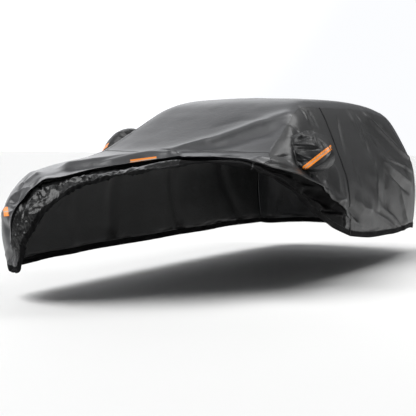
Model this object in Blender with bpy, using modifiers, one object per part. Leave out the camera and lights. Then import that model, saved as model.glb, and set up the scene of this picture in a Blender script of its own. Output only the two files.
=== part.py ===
"""A fitted car cover, hanging as in use, with its front edge pulled up from one corner.

X runs across the cover, with +X on the side where the zip is. The front faces -Y, and Z is up.
The tables give heights above the ground. The model's origin is the mount, under the middle of the roof.
"""

import math

import bmesh
import bpy
import numpy as np
from mathutils import Vector

# Driving dimensions, in metres
CLOTH = 0.002  # thickness of the coated cloth
EDGE_PULL = 0.00025  # each piece's edge stands back this far from the seam, so two are 0.5 mm apart
MOUNT_Y = 0.75  # middle of the roof
MOUNT_HEIGHT = 1.4882  # underside of the roof there, above the ground
EDGE_SOFTNESS = 0.035  # how widely the cloth rounds where two sides of the form meet
CORE_FRONT = -1.15  # ends and height of the line inside the form from which the cloth is spread
CORE_REAR = 1.9
CORE_HEIGHT = 0.45

# Columns of the cover, counted round its edge from the front seam at -X
FRONT_COLUMNS = 24
SIDE_COLUMNS = 38
LEFT = FRONT_COLUMNS  # first column of the side at +X
REAR = LEFT + SIDE_COLUMNS
RIGHT = REAR + FRONT_COLUMNS
COLUMNS = RIGHT + SIDE_COLUMNS
ZIP = LEFT + 15  # the zip fills this column

# Rows of the cover, counted from the edge of the roof and screen down to the hem
WAIST = 7
LIP = WAIST + 5  # where the pulled-up front folds over itself
HEM = LIP + 6

# The form over which the cover hangs
TOP_LINE = (  # y, height: the middle line, seen from the side
    (-2.4, 0.620), (-2.2, 0.735), (-2.0, 0.840), (-1.8, 0.910), (-1.5, 0.973), (-1.2, 1.015),
    (-0.95, 1.045), (-0.8, 1.075), (-0.6, 1.155), (-0.4, 1.250), (-0.2, 1.350), (0.0, 1.435),
    (0.2, 1.475), (0.5, 1.487), (0.9, 1.490), (1.3, 1.482), (1.7, 1.450), (2.0, 1.400),
    (2.2, 1.345), (2.4, 1.280), (2.6, 1.200),
)
SIDE_LINE = (  # height, half width: the sides, seen from the front
    (0.0, 0.900), (0.2, 0.905), (0.45, 0.930), (0.7, 0.930), (0.85, 0.905), (0.95, 0.865),
    (1.1, 0.790), (1.2, 0.740), (1.3, 0.690), (1.4, 0.630), (1.5, 0.560),
)
FRONT_LINE = (  # height, y: the nose, seen from the side
    (0.0, -2.08), (0.3, -2.17), (0.5, -2.21), (0.65, -2.18), (0.75, -2.11), (0.85, -2.00),
    (1.0, -1.80),
)
REAR_LINE = (  # height, y: the tail, seen from the side
    (0.0, 2.36), (0.3, 2.45), (0.6, 2.49), (0.8, 2.47), (1.0, 2.38), (1.2, 2.26), (1.3, 2.19),
    (1.4, 2.10), (1.5, 1.98),
)
TAPER = (  # y, share of the half width: the sides, seen from above
    (-2.3, 0.78), (-2.0, 0.90), (-1.7, 0.96), (-1.4, 0.99), (-1.0, 1.00), (1.2, 1.00),
    (1.6, 0.985), (1.9, 0.955), (2.1, 0.925), (2.3, 0.885), (2.5, 0.83),
)
ROOF_CROWN = 0.02  # the top falls this much at CROWN_REACH from the middle
CROWN_REACH = 0.6
NOSE_BOW = 0.30  # the nose runs back this much at BOW_REACH from the middle
TAIL_BOW = 0.12
BOW_REACH = 0.9

# Where the cloth lies: column, then the point at the roof's edge, the waist, the lip and the hem
FRONT_STATIONS = (
    (0, (-0.74, -0.78, 1.05), (-0.88, -1.34, 0.78), (-0.78, -1.95, 0.29), (-0.80, -1.93, 0.21)),
    (2, (-0.65, -0.81, 1.05), (-0.78, -1.68, 0.88), (-0.70, -2.03, 0.32), (-0.69, -2.02, 0.21)),
    (4, (-0.52, -0.85, 1.05), (-0.70, -1.80, 0.85), (-0.60, -2.12, 0.42), (-0.56, -2.10, 0.23)),
    (6, (-0.39, -0.88, 1.05), (-0.62, -1.80, 0.88), (-0.58, -2.13, 0.56), (-0.45, -2.16, 0.40)),
    (8, (-0.26, -0.91, 1.05), (-0.53, -1.75, 0.91), (-0.55, -2.09, 0.69), (-0.34, -2.19, 0.52)),
    (10, (-0.13, -0.92, 1.05), (-0.45, -1.65, 0.93), (-0.50, -2.03, 0.77), (-0.25, -2.16, 0.66)),
    (12, (0.00, -0.93, 1.05), (-0.36, -1.55, 0.96), (-0.40, -1.96, 0.83), (-0.14, -2.07, 0.77)),
    (14, (0.13, -0.92, 1.05), (-0.24, -1.48, 0.97), (-0.25, -1.89, 0.87), (0.00, -1.95, 0.85)),
    (16, (0.26, -0.91, 1.05), (-0.10, -1.38, 0.99), (-0.10, -1.77, 0.92), (0.11, -1.86, 0.89)),
    (18, (0.39, -0.88, 1.05), (0.08, -1.27, 1.00), (0.10, -1.57, 0.96), (0.25, -1.79, 0.91)),
    (20, (0.52, -0.85, 1.05), (0.27, -1.13, 1.02), (0.30, -1.34, 0.99), (0.39, -1.55, 0.95)),
    (22, (0.65, -0.81, 1.05), (0.52, -1.06, 1.02), (0.55, -1.235, 0.99), (0.58, -1.38, 0.97)),
    (24, (0.74, -0.78, 1.05), (0.82, -0.97, 0.965), (0.80, -1.20, 0.96), (0.845, -1.286, 0.94)),
)
LEFT_STATIONS = (
    (24, (0.74, -0.78, 1.05), (0.82, -0.97, 0.965), (0.80, -1.20, 0.96), (0.845, -1.286, 0.94)),
    (26, (0.71, -0.62, 1.12), (0.84, -0.84, 0.965), (0.86, -1.06, 0.94), (0.88, -1.18, 0.90)),
    (28, (0.68, -0.46, 1.19), (0.865, -0.695, 0.97), (0.885, -0.90, 0.90), (0.90, -1.03, 0.86)),
    (30, (0.66, -0.31, 1.26), (0.875, -0.55, 0.96), (0.905, -0.72, 0.86), (0.92, -0.85, 0.78)),
    (32, (0.64, -0.17, 1.33), (0.88, -0.40, 0.96), (0.92, -0.56, 0.82), (0.935, -0.65, 0.69)),
    (34, (0.61, 0.00, 1.39), (0.89, -0.22, 0.93), (0.93, -0.36, 0.76), (0.94, -0.44, 0.58)),
    (36, (0.62, 0.14, 1.405), (0.90, -0.03, 0.91), (0.94, -0.13, 0.66), (0.94, -0.18, 0.48)),
    (39, (0.632, 0.360, 1.40), (0.90, 0.258, 0.89), (0.94, 0.288, 0.49), (0.935, 0.300, 0.35)),
    (40, (0.632, 0.384, 1.40), (0.90, 0.282, 0.89), (0.94, 0.312, 0.485), (0.935, 0.324, 0.345)),
    (44, (0.627, 0.70, 1.40), (0.90, 0.70, 0.86), (0.93, 0.72, 0.40), (0.92, 0.72, 0.30)),
    (50, (0.627, 1.15, 1.40), (0.90, 1.18, 0.86), (0.92, 1.20, 0.38), (0.91, 1.20, 0.28)),
    (56, (0.63, 1.55, 1.375), (0.88, 1.60, 0.85), (0.90, 1.62, 0.37), (0.90, 1.62, 0.27)),
    (60, (0.63, 1.81, 1.335), (0.84, 1.96, 0.84), (0.86, 2.00, 0.37), (0.86, 2.00, 0.275)),
    (62, (0.62, 1.92, 1.31), (0.78, 2.15, 0.84), (0.79, 2.20, 0.37), (0.79, 2.20, 0.28)),
)
REAR_STATIONS = (
    (62, (0.62, 1.92, 1.31), (0.78, 2.15, 0.84), (0.79, 2.20, 0.37), (0.79, 2.20, 0.28)),
    (66, (0.42, 1.98, 1.34), (0.55, 2.35, 0.85), (0.56, 2.36, 0.37), (0.56, 2.36, 0.27)),
    (74, (0.00, 2.02, 1.36), (0.00, 2.46, 0.86), (0.00, 2.42, 0.37), (0.00, 2.42, 0.26)),
    (82, (-0.42, 1.98, 1.34), (-0.55, 2.35, 0.85), (-0.56, 2.36, 0.36), (-0.56, 2.36, 0.26)),
    (86, (-0.62, 1.92, 1.31), (-0.78, 2.15, 0.84), (-0.79, 2.20, 0.35), (-0.79, 2.20, 0.26)),
)
RIGHT_STATIONS = (
    (86, (-0.62, 1.92, 1.31), (-0.78, 2.15, 0.84), (-0.79, 2.20, 0.35), (-0.79, 2.20, 0.26)),
    (88, (-0.63, 1.81, 1.335), (-0.84, 1.96, 0.84), (-0.86, 2.00, 0.35), (-0.86, 2.00, 0.25)),
    (92, (-0.63, 1.55, 1.375), (-0.88, 1.60, 0.85), (-0.90, 1.62, 0.34), (-0.90, 1.62, 0.25)),
    (98, (-0.627, 1.15, 1.40), (-0.90, 1.18, 0.86), (-0.92, 1.20, 0.33), (-0.91, 1.20, 0.24)),
    (104, (-0.627, 0.70, 1.40), (-0.90, 0.68, 0.87), (-0.93, 0.66, 0.33), (-0.92, 0.66, 0.24)),
    (109, (-0.632, 0.36, 1.40), (-0.90, 0.25, 0.88), (-0.94, 0.15, 0.32), (-0.935, 0.15, 0.23)),
    (112, (-0.62, 0.14, 1.405), (-0.90, -0.05, 0.89), (-0.94, -0.20, 0.32), (-0.935, -0.20, 0.23)),
    (114, (-0.61, 0.00, 1.39), (-0.90, -0.25, 0.90), (-0.94, -0.45, 0.32), (-0.93, -0.45, 0.23)),
    (116, (-0.64, -0.17, 1.33), (-0.90, -0.45, 0.91), (-0.94, -0.70, 0.31), (-0.93, -0.70, 0.23)),
    (118, (-0.66, -0.31, 1.26), (-0.90, -0.66, 0.92), (-0.94, -0.97, 0.31), (-0.93, -0.97, 0.22)),
    (120, (-0.68, -0.46, 1.19), (-0.90, -0.90, 0.91), (-0.93, -1.27, 0.30), (-0.92, -1.27, 0.22)),
    (122, (-0.71, -0.62, 1.12), (-0.90, -1.02, 0.80), (-0.90, -1.60, 0.30), (-0.89, -1.60, 0.21)),
    (124, (-0.74, -0.78, 1.05), (-0.88, -1.34, 0.78), (-0.78, -1.95, 0.29), (-0.80, -1.93, 0.21)),
)
SECTORS = (FRONT_STATIONS, LEFT_STATIONS, REAR_STATIONS, RIGHT_STATIONS)

# How strongly the front is folded over itself and gathered, from 0 to 1: column, fold, gather
GATHER_LINE = (
    (0, 0.0, 0.3), (3, 0.25, 0.7), (6, 0.7, 1.0), (10, 1.0, 1.0), (20, 1.0, 1.0), (26, 0.9, 0.8),
    (34, 1.0, 1.0), (37, 0.8, 0.9), (39, 0.3, 0.4), (44, 0.1, 0.3), (62, 0.0, 0.3), (124, 0.0, 0.3),
)
# The pulled-up edge, from the lip to the hem: share of the way, height off the form where it is folded
FOLD_SECTION = (
    (0.00, 0.034), (-0.08, 0.006), (0.20, 0.004), (0.48, 0.020), (0.74, 0.012), (0.90, 0.014),
    (1.00, 0.004),
)
PLAIN_SECTION = (0.0, 0.17, 0.34, 0.5, 0.67, 0.84, 1.0)  # the same rows where the cloth hangs plain
GATHER_DEPTH = 0.010

# Main folds: height, half width, then the points of its crest
FOLDS = (
    # the tension fold across the screen
    (0.022, 0.085, ((-0.12, -0.93, 1.05), (0.22, -0.6, 1.155), (0.43, -0.355, 1.26), (0.6, -0.19, 1.33))),
    (-0.014, 0.09, ((0.20, -0.80, 1.08), (0.42, -0.62, 1.13), (0.60, -0.47, 1.18))),
    # the step across the front that carries the reflective strip
    (0.045, 0.075, ((-0.48, -1.58, 0.95), (-0.30, -1.44, 0.98), (-0.06, -1.24, 1.01), (0.10, -1.17, 1.02))),
    (-0.020, 0.07, ((-0.40, -1.66, 0.93), (-0.12, -1.45, 0.98), (0.10, -1.32, 1.00))),
    # soft creases at the front corner
    (0.018, 0.06, ((-0.72, -1.72, 0.89), (-0.55, -1.86, 0.86), (-0.42, -1.94, 0.84))),
    (-0.022, 0.05, ((-0.70, -2.00, 0.71), (-0.60, -2.06, 0.70), (-0.55, -2.05, 0.73))),
    (0.018, 0.045, ((-0.76, -1.98, 0.62), (-0.64, -2.08, 0.60))),
    (-0.016, 0.04, ((-0.66, -2.08, 0.52), (-0.62, -2.10, 0.40), (-0.68, -2.04, 0.30))),
    # swags below the mirror pocket
    (0.030, 0.055, ((0.78, -0.98, 1.00), (0.84, -0.90, 0.97), (0.90, -0.62, 0.90), (0.93, -0.39, 0.81))),
    (0.030, 0.050, ((0.90, -0.78, 0.85), (0.93, -0.48, 0.79), (0.94, -0.18, 0.74), (0.95, 0.00, 0.64))),
    (-0.030, 0.055, ((0.93, -0.62, 0.77), (0.94, -0.40, 0.71), (0.95, -0.20, 0.65))),
    (0.034, 0.075, ((0.90, 0.02, 0.90), (0.94, 0.02, 0.75), (0.95, 0.08, 0.60))),
    # creases round the mirror pocket
    (0.014, 0.045, ((0.70, -0.36, 1.22), (0.77, -0.50, 1.12), (0.86, -0.66, 0.97))),
    (-0.012, 0.05, ((0.64, 0.03, 1.38), (0.72, 0.02, 1.25), (0.80, 0.02, 1.10))),
    # diagonal folds towards the rear corner
    (0.016, 0.065, ((0.67, 1.00, 1.33), (0.79, 1.16, 1.09), (0.92, 1.36, 0.77), (0.90, 1.80, 0.36))),
    (0.018, 0.060, ((0.66, 1.36, 1.33), (0.74, 1.62, 1.19), (0.80, 1.90, 1.00), (0.80, 2.14, 0.88))),
    (-0.016, 0.060, ((0.72, 1.30, 1.22), (0.82, 1.55, 1.02), (0.86, 1.86, 0.86))),
    (0.014, 0.055, ((0.87, 1.24, 0.95), (0.90, 1.55, 0.82), (0.88, 1.98, 0.70))),
    (0.014, 0.060, ((0.88, 0.92, 0.94), (0.94, 0.92, 0.76), (0.94, 0.94, 0.56))),
    (-0.014, 0.070, ((0.91, 0.62, 0.86), (0.94, 1.12, 0.60), (0.90, 1.72, 0.37))),
    # plain hanging folds on the side that the photograph hides, and at the tail
    (0.016, 0.075, ((-0.80, -0.30, 1.08), (-0.93, -0.35, 0.80), (-0.94, -0.40, 0.40))),
    (0.016, 0.080, ((-0.78, 0.55, 1.12), (-0.93, 0.60, 0.78), (-0.94, 0.72, 0.36))),
    (0.015, 0.075, ((-0.74, 1.35, 1.18), (-0.90, 1.50, 0.80), (-0.90, 1.85, 0.36))),
    (-0.015, 0.080, ((-0.90, -1.20, 0.86), (-0.94, -1.05, 0.60), (-0.94, -1.00, 0.32))),
    (0.015, 0.080, ((0.30, 2.25, 1.15), (0.42, 2.42, 0.85), (0.55, 2.36, 0.42))),
    (0.015, 0.080, ((-0.24, 2.27, 1.15), (-0.34, 2.44, 0.80), (-0.50, 2.38, 0.40))),
)

# Mirror pockets, sewn over oval holes in the sides: first and last column of the hole, its first and last row, the
# oval's middle and half its length and height, both in y and height, and the way to the bag's tip
POCKETS = {
    "mirror_pocket_left": ((28, 34), (2, 8), (-0.38, 1.043), (0.175, 0.140), (0.222, 0.03, 0.02)),
    "mirror_pocket_right": ((114, 120), (2, 8), (-0.33, 1.07), (0.15, 0.125), (-0.190, 0.05, 0.06)),
}
POCKET_CORNERS = 0.3  # 0.5 makes the seam oval, and 0 square
POCKET_LEAN = 0.5  # how far the seam leans back for each metre up
POCKET_SWELL = 0.24  # how much wider the bag is than its seam, about half way out
POCKET_STEPS = 3  # steps of the bag for each step of its seam
POCKET_REACH = 1.6  # the cloth is drawn towards the oval up to this many times the hole's half size

# Reflective strips: what each is sewn on, its two ends, its width, and the direction it faces
STRIPS = {
    "strip_front": (
        "bonnet_panel", (-0.075, -1.405, 0.985), (0.055, -1.245, 1.015), 0.045, (0.3, -0.5, 0.8)
    ),
    "strip_corner": (
        "bonnet_panel", (-0.755, -2.000, 0.655), (-0.685, -2.060, 0.640), 0.060, (-0.6, -0.8, 0.1)
    ),
    "strip_mirror_left": (
        "mirror_pocket_left", (0.93, -0.585, 0.925), (1.035, -0.31, 1.09), 0.038, (0.62, -0.72, 0.3)
    ),
    "strip_mirror_right": (
        "mirror_pocket_right", (-0.93, -0.47, 1.09), (-1.00, -0.31, 0.99), 0.038, (-0.7, -0.7, 0.1)
    ),
}
STRIP_CLOTH = 0.001
STRIP_STAND_OFF = 0.0004  # gap between a strip and the cloth that carries it
STRIP_SLOPE = 0.05  # least share of a facet's own facing that points the strip's way
STRIP_MERGE = 0.0002  # points of a strip nearer than this become one

PANELS = {  # the pieces cut from flat cloth, and their finish
    "bonnet_panel": "top_cloth",
    "roof_panel": "top_cloth",
    "tail_panel": "top_cloth",
    "left_side_front": "side_cloth",
    "left_side_rear": "side_cloth",
    "right_side": "side_cloth",
    "zip": "zip_tape",
}
FINISHES = {  # red, green, blue, roughness
    "top_cloth": (0.105, 0.107, 0.112, 0.42),
    "side_cloth": (0.055, 0.056, 0.058, 0.45),
    "pocket_cloth": (0.040, 0.041, 0.043, 0.45),
    "zip_tape": (0.006, 0.006, 0.007, 0.40),
    "reflective_tape": (0.90, 0.23, 0.02, 0.38),
}


def smooth(keys, values, at):
    """Values of the smooth curve through the rows of a table, at the given keys."""
    keys = np.asarray(keys, float)
    values = np.asarray(values, float)
    at = np.asarray(at, float)
    slopes = np.gradient(values, keys, axis=0)
    row = np.clip(np.searchsorted(keys, at, side="right") - 1, 0, len(keys) - 2)
    step = keys[row + 1] - keys[row]
    share = np.clip((at - keys[row]) / step, 0.0, 1.0)
    if values.ndim > 1:
        step = step[..., None]
        share = share[..., None]
    rest = 1.0 - share
    return (
        (1 + 2 * share) * rest**2 * values[row]
        + share * rest**2 * step * slopes[row]
        + share**2 * (3 - 2 * share) * values[row + 1]
        - share**2 * rest * step * slopes[row + 1]
    )


def line(table, at):
    """The second column of a two-column table, at keys given in its first."""
    return smooth([row[0] for row in table], [row[1] for row in table], at)


def outside(points):
    """Distance of points outside the form, nearly; negative inside it."""
    x, y, z = points[..., 0], points[..., 1], points[..., 2]
    reach = np.abs(x)
    sides = np.stack([
        z - line(TOP_LINE, y) + ROOF_CROWN * (reach / CROWN_REACH) ** 2,
        reach - line(SIDE_LINE, z) * line(TAPER, y),
        line(FRONT_LINE, z) + NOSE_BOW * (reach / BOW_REACH) ** 3 - y,
        y - line(REAR_LINE, z) + TAIL_BOW * (reach / BOW_REACH) ** 2,
    ])
    nearest = sides.max(axis=0)
    return nearest + EDGE_SOFTNESS * np.log(np.exp((sides - nearest) / EDGE_SOFTNESS).sum(axis=0))


def on_form(points):
    """Moves points out or in along rays from the core line, until they lie on the form."""
    core = np.zeros_like(points)
    core[..., 1] = np.clip(points[..., 1], CORE_FRONT, CORE_REAR)
    core[..., 2] = CORE_HEIGHT
    ray = points - core
    near = np.full(points.shape[:-1], 0.2)
    far = np.full(points.shape[:-1], 2.5)
    for _ in range(26):
        middle = (near + far) / 2
        within = outside(core + ray * middle[..., None]) < 0
        near = np.where(within, middle, near)
        far = np.where(within, far, middle)
    return core + ray * near[..., None]


def form_normals(points):
    """Outward directions of the form at points on it."""
    slope = np.empty_like(points)
    for axis in range(3):
        step = np.zeros(3)
        step[axis] = 0.002
        slope[..., axis] = outside(points + step) - outside(points - step)
    return slope / np.linalg.norm(slope, axis=-1, keepdims=True)


def guide(column, ring):
    """Points of one of the four rings of the stations: 0 roof edge, 1 waist, 2 lip, 3 hem."""
    column = np.mod(np.asarray(column, float), COLUMNS)
    points = np.empty(column.shape + (3,))
    for stations in SECTORS:
        keys = [row[0] for row in stations]
        here = (column >= keys[0]) & (column <= keys[-1])
        points[here] = smooth(keys, [row[1 + ring] for row in stations], column[here])
    return points


def gather_at(column):
    keys = [row[0] for row in GATHER_LINE]
    return smooth(keys, [row[1:] for row in GATHER_LINE], np.mod(column, COLUMNS))


def crumple(column, row):
    """Uneven waves of short gathers, between about -1 and 1."""
    return (
        0.6 * np.sin(1.37 * column + 0.9 * row)
        + 0.4 * np.sin(2.23 * column - 1.3 * row + 1.7)
        + 0.3 * np.sin(0.71 * column + 2.1 * row + 0.4)
    )


def fold_lift(points):
    """How far the main folds lift the cloth off the form at each point."""
    lift = np.zeros(points.shape[:-1])
    for height, half_width, crest in FOLDS:
        away = np.full(points.shape[:-1], np.inf)
        for start, end in zip(np.array(crest[:-1]), np.array(crest[1:])):
            run = end - start
            share = np.clip((points - start) @ run / (run @ run), 0.0, 1.0)
            away = np.minimum(away, np.linalg.norm(points - start - share[..., None] * run, axis=-1))
        lift += height * np.exp(-((away / half_width) ** 2))
    return lift


def drawn_to_pockets(points, column, row):
    """Draws the cloth near each mirror pocket in or out, so that the pocket's hole is an oval."""
    for (first_column, last_column), (first_row, last_row), middle, reach, _ in POCKETS.values():
        side = 1 if first_column < REAR else -1
        across = side * (2 * column - first_column - last_column) / (last_column - first_column)
        down = (2 * row - first_row - last_row) / (last_row - first_row)
        far = np.maximum(np.abs(across), np.abs(down))
        beyond = np.maximum(far, 1)
        z = middle[1] - reach[1] * down * np.sqrt(1 - POCKET_CORNERS * (across / beyond) ** 2)
        y = middle[0] + reach[0] * across * np.sqrt(1 - POCKET_CORNERS * (down / beyond) ** 2)
        y += POCKET_LEAN * (z - middle[1])
        oval = np.stack([side * line(SIDE_LINE, z) * line(TAPER, y), y, z], axis=-1)
        share = np.clip((POCKET_REACH - far) / (POCKET_REACH - 1), 0, 1)[..., None]
        points = points + share**2 * (3 - 2 * share) * (oval - points)
    return points


def cover_surface(column, row):
    """Points of the cover's outside below the roof's edge, for columns and rows that may lie between two."""
    column, row = np.broadcast_arrays(np.asarray(column, float), np.asarray(row, float))
    roof, waist, lip, hem = (guide(column, ring) for ring in range(4))
    folded, gathered = np.moveaxis(gather_at(column), -1, 0)
    upper = np.clip(row / WAIST, 0, 1)[..., None]
    lower = np.clip((row - WAIST) / (LIP - WAIST), 0, 1)[..., None]
    steps = np.arange(HEM - LIP + 1)
    in_edge = np.clip(row - LIP, 0, HEM - LIP)
    plain = smooth(steps, PLAIN_SECTION, in_edge)
    turned = smooth(steps, [share for share, _ in FOLD_SECTION], in_edge)
    way = (folded * turned + (1 - folded) * plain)[..., None]
    points = np.where(row[..., None] <= WAIST, roof + (waist - roof) * upper, waist + (lip - waist) * lower)
    points = np.where(row[..., None] <= LIP, points, lip + (hem - lip) * way)
    points = on_form(drawn_to_pockets(points, column, row))
    lift = fold_lift(points)
    lift += folded * smooth(
        np.append([LIP - 3, LIP - 1], LIP + steps), [0.0, 0.014] + [height for _, height in FOLD_SECTION], row
    )
    near_hem = np.clip((row - LIP - 0.5) / 1.5, 0, 1)
    lift += GATHER_DEPTH * gathered * near_hem * crumple(column, row)
    return points + form_normals(points) * lift[..., None]


def roof_surface(column, across):
    """Points of the roof and screen: across runs from 0 at the edge at +X to 1 at the other edge."""
    column, across = np.broadcast_arrays(np.asarray(column, float), np.asarray(across, float))
    along = ((column - LEFT) / SIDE_COLUMNS)[..., None]
    share = across[..., None]
    left, right = guide(column, 0), guide(COLUMNS - (column - LEFT), 0)
    front, rear = guide(LEFT - FRONT_COLUMNS * across, 0), guide(REAR + FRONT_COLUMNS * across, 0)
    front_left, front_right, rear_left, rear_right = guide(np.array([LEFT, 0, REAR, RIGHT]), 0)
    between_sides = (1 - share) * left + share * right
    between_ends = (1 - along) * front + along * rear
    corners = (1 - along) * ((1 - share) * front_left + share * front_right)
    corners = corners + along * ((1 - share) * rear_left + share * rear_right)
    points = on_form(between_sides + between_ends - corners)
    return points + form_normals(points) * fold_lift(points)[..., None]


def in_hole(column, row, pocket_name):
    (first_column, last_column), (first_row, last_row) = POCKETS[pocket_name][:2]
    return first_column <= column < last_column and first_row <= row < last_row


def panel_of(column, row):
    """The piece to which one cell below the roof's edge belongs."""
    for name in POCKETS:
        if in_hole(column, row, name):
            return name
    if column == ZIP:
        return "zip"
    if column < LEFT:
        return "bonnet_panel"
    if column < ZIP:
        return "left_side_front"
    if column < REAR:
        return "left_side_rear"
    return "tail_panel" if column < RIGHT else "right_side"


def whole_cover():
    """The outside's numbered points, and for each piece its cells as four point numbers."""
    columns, rows = np.meshgrid(np.arange(COLUMNS), np.arange(HEM + 1), indexing="ij")
    ring = cover_surface(columns, rows).reshape(-1, 3)
    roof_columns, steps = np.meshgrid(
        np.arange(LEFT + 1, REAR), np.arange(1, FRONT_COLUMNS), indexing="ij"
    )
    roof = roof_surface(roof_columns, steps / FRONT_COLUMNS).reshape(-1, 3)

    def ring_point(column, row):
        return (column % COLUMNS) * (HEM + 1) + row

    def roof_point(column, step):
        if column == LEFT:
            return ring_point(LEFT - step, 0)
        if column == REAR:
            return ring_point(REAR + step, 0)
        if step == 0:
            return ring_point(column, 0)
        if step == FRONT_COLUMNS:
            return ring_point(COLUMNS - (column - LEFT), 0)
        return len(ring) + (column - LEFT - 1) * (FRONT_COLUMNS - 1) + step - 1

    cells = {}
    for column in range(COLUMNS):
        for row in range(HEM):
            corners = [(column, row), (column, row + 1), (column + 1, row + 1), (column + 1, row)]
            cells.setdefault(panel_of(column, row), []).append([ring_point(*corner) for corner in corners])
    for column in range(LEFT, REAR):
        for step in range(FRONT_COLUMNS):
            corners = [(column, step), (column + 1, step), (column + 1, step + 1), (column, step + 1)]
            cells.setdefault("roof_panel", []).append([roof_point(*corner) for corner in corners])
    return np.concatenate([ring, roof]), cells


def halved(points, cells):
    """Two triangles for each cell, parted along its shorter diagonal."""
    cells = np.array(cells)
    first, second, third, fourth = (points[cells[:, corner]] for corner in range(4))
    shorter = np.linalg.norm(third - first, axis=1) <= np.linalg.norm(fourth - second, axis=1)
    one_way = cells[:, [0, 1, 2, 0, 2, 3]]
    other_way = cells[:, [0, 1, 3, 1, 2, 3]]
    return np.where(shorter[:, None], one_way, other_way).reshape(-1, 3)


def point_normals(points, triangles):
    corners = points[triangles]
    facing = np.cross(corners[:, 1] - corners[:, 0], corners[:, 2] - corners[:, 0])
    normals = np.zeros_like(points)
    for corner in range(3):
        np.add.at(normals, triangles[:, corner], facing)
    return normals / np.maximum(np.linalg.norm(normals, axis=1, keepdims=True), 1e-12)


def open_edges(triangles):
    """The edges that only one triangle has, in that triangle's direction."""
    edges = {tuple(edge) for corners in triangles.tolist() for edge in zip(corners, corners[1:] + corners[:1])}
    return sorted(edge for edge in edges if edge[::-1] not in edges)


def drawn_in(outer, inner, edges):
    """How far each point of a sheet's rim moves, for both edges beside it to stand back by EDGE_PULL."""
    beside = {}
    for start, end in edges:
        thickness = outer[start] - inner[start] + outer[end] - inner[end]
        inward = np.cross(thickness, outer[end] - outer[start])
        for point in (start, end):
            beside.setdefault(point, []).append(inward / np.linalg.norm(inward))
    drawn = np.zeros_like(outer)
    for point, (one, other) in beside.items():
        drawn[point] = EDGE_PULL * (one + other) / (1 + one @ other)
    return drawn


def sheet(name, outer, inner, triangles, finish):
    """A closed sheet between two skins, which neighbouring pieces share, so that they meet along a seam.

    Its edge is drawn in by half the gap to the next piece.
    """
    edges = open_edges(triangles)
    drawn = drawn_in(outer, inner, edges)
    outer = outer + drawn
    inner = inner + drawn
    used, index = np.unique(triangles, return_inverse=True)
    triangles = index.reshape(-1, 3)
    number = {point: position for position, point in enumerate(used)}
    count = len(used)
    faces = [list(corners) for corners in triangles]
    faces += [[corner + count for corner in corners[::-1]] for corners in triangles]
    for start, end in edges:
        start, end = number[start], number[end]
        faces += [[end, start, start + count], [end, start + count, end + count]]
    mesh = bpy.data.meshes.new(name)
    mount = (0.0, MOUNT_Y, MOUNT_HEIGHT)
    mesh.from_pydata((np.concatenate([outer[used], inner[used]]) - mount).tolist(), [], faces)
    mesh.shade_smooth()
    mesh.set_sharp_from_angle(angle=math.radians(50))
    return place(name, mesh, finish)


def place(name, mesh, finish):
    """An object for a piece, in the cover's collection and with its own material."""
    piece = bpy.data.objects.new(name, mesh)
    bpy.data.collections["car_cover"].objects.link(piece)
    material = bpy.data.materials.new(name)
    material.use_nodes = True
    shader = material.node_tree.nodes["Principled BSDF"]
    red, green, blue, roughness = FINISHES[finish]
    shader.inputs["Base Color"].default_value = (red, green, blue, 1.0)
    shader.inputs["Roughness"].default_value = roughness
    shader.inputs["Metallic"].default_value = 0.0
    mesh.materials.append(material)
    return piece


def between(grid, column, row):
    """Points on the straight lines between the numbered points of a grid."""
    low_column, low_row = np.floor(column).astype(int), np.floor(row).astype(int)
    share_column, share_row = (column - low_column)[..., None], (row - low_row)[..., None]
    high_column, high_row = low_column + (share_column[..., 0] > 0), low_row + (share_row[..., 0] > 0)
    near = grid[low_column, low_row] * (1 - share_row) + grid[low_column, high_row] * share_row
    far = grid[high_column, low_row] * (1 - share_row) + grid[high_column, high_row] * share_row
    return near * (1 - share_column) + far * share_column


def pocket(name, outer, inner):
    """A mirror pocket: a full bag, whose edge follows the hole in the side panel."""
    (first_column, last_column), (first_row, last_row), _, _, to_tip = POCKETS[name]
    across, down = np.meshgrid(
        np.linspace(-1, 1, POCKET_STEPS * (last_column - first_column) + 1),
        np.linspace(-1, 1, POCKET_STEPS * (last_row - first_row) + 1),
        indexing="ij",
    )
    far = np.maximum(np.abs(across), np.abs(down))
    beyond = np.maximum(far, 1e-9)
    column = (first_column + last_column + across / beyond * (last_column - first_column)) / 2
    row = (first_row + last_row + down / beyond * (last_row - first_row)) / 2
    grid_shape = (COLUMNS, HEM + 1, 3)
    below_roof = COLUMNS * (HEM + 1)
    seam = between(outer[:below_roof].reshape(grid_shape), column, row)
    seam_inner = between(inner[:below_roof].reshape(grid_shape), column, row)
    middle = seam[far == 1].mean(axis=0)
    rise = (1 - far[..., None]) * math.pi / 2
    wide = np.cos(rise) * (1 + POCKET_SWELL * np.sin(2 * rise))
    bag = (middle + (seam - middle) * wide + np.array(to_tip) * np.sin(rise)).reshape(-1, 3)
    number = np.arange(far.size).reshape(far.shape)
    cells = np.stack([number[:-1, :-1], number[:-1, 1:], number[1:, 1:], number[1:, :-1]], axis=-1)
    triangles = halved(bag, cells.reshape(-1, 4))
    lining = bag - CLOTH * point_normals(bag, triangles)
    lining = np.where((far == 1).reshape(-1, 1), seam_inner.reshape(-1, 3), lining)
    return sheet(name, bag, lining, triangles, "pocket_cloth")


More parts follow.
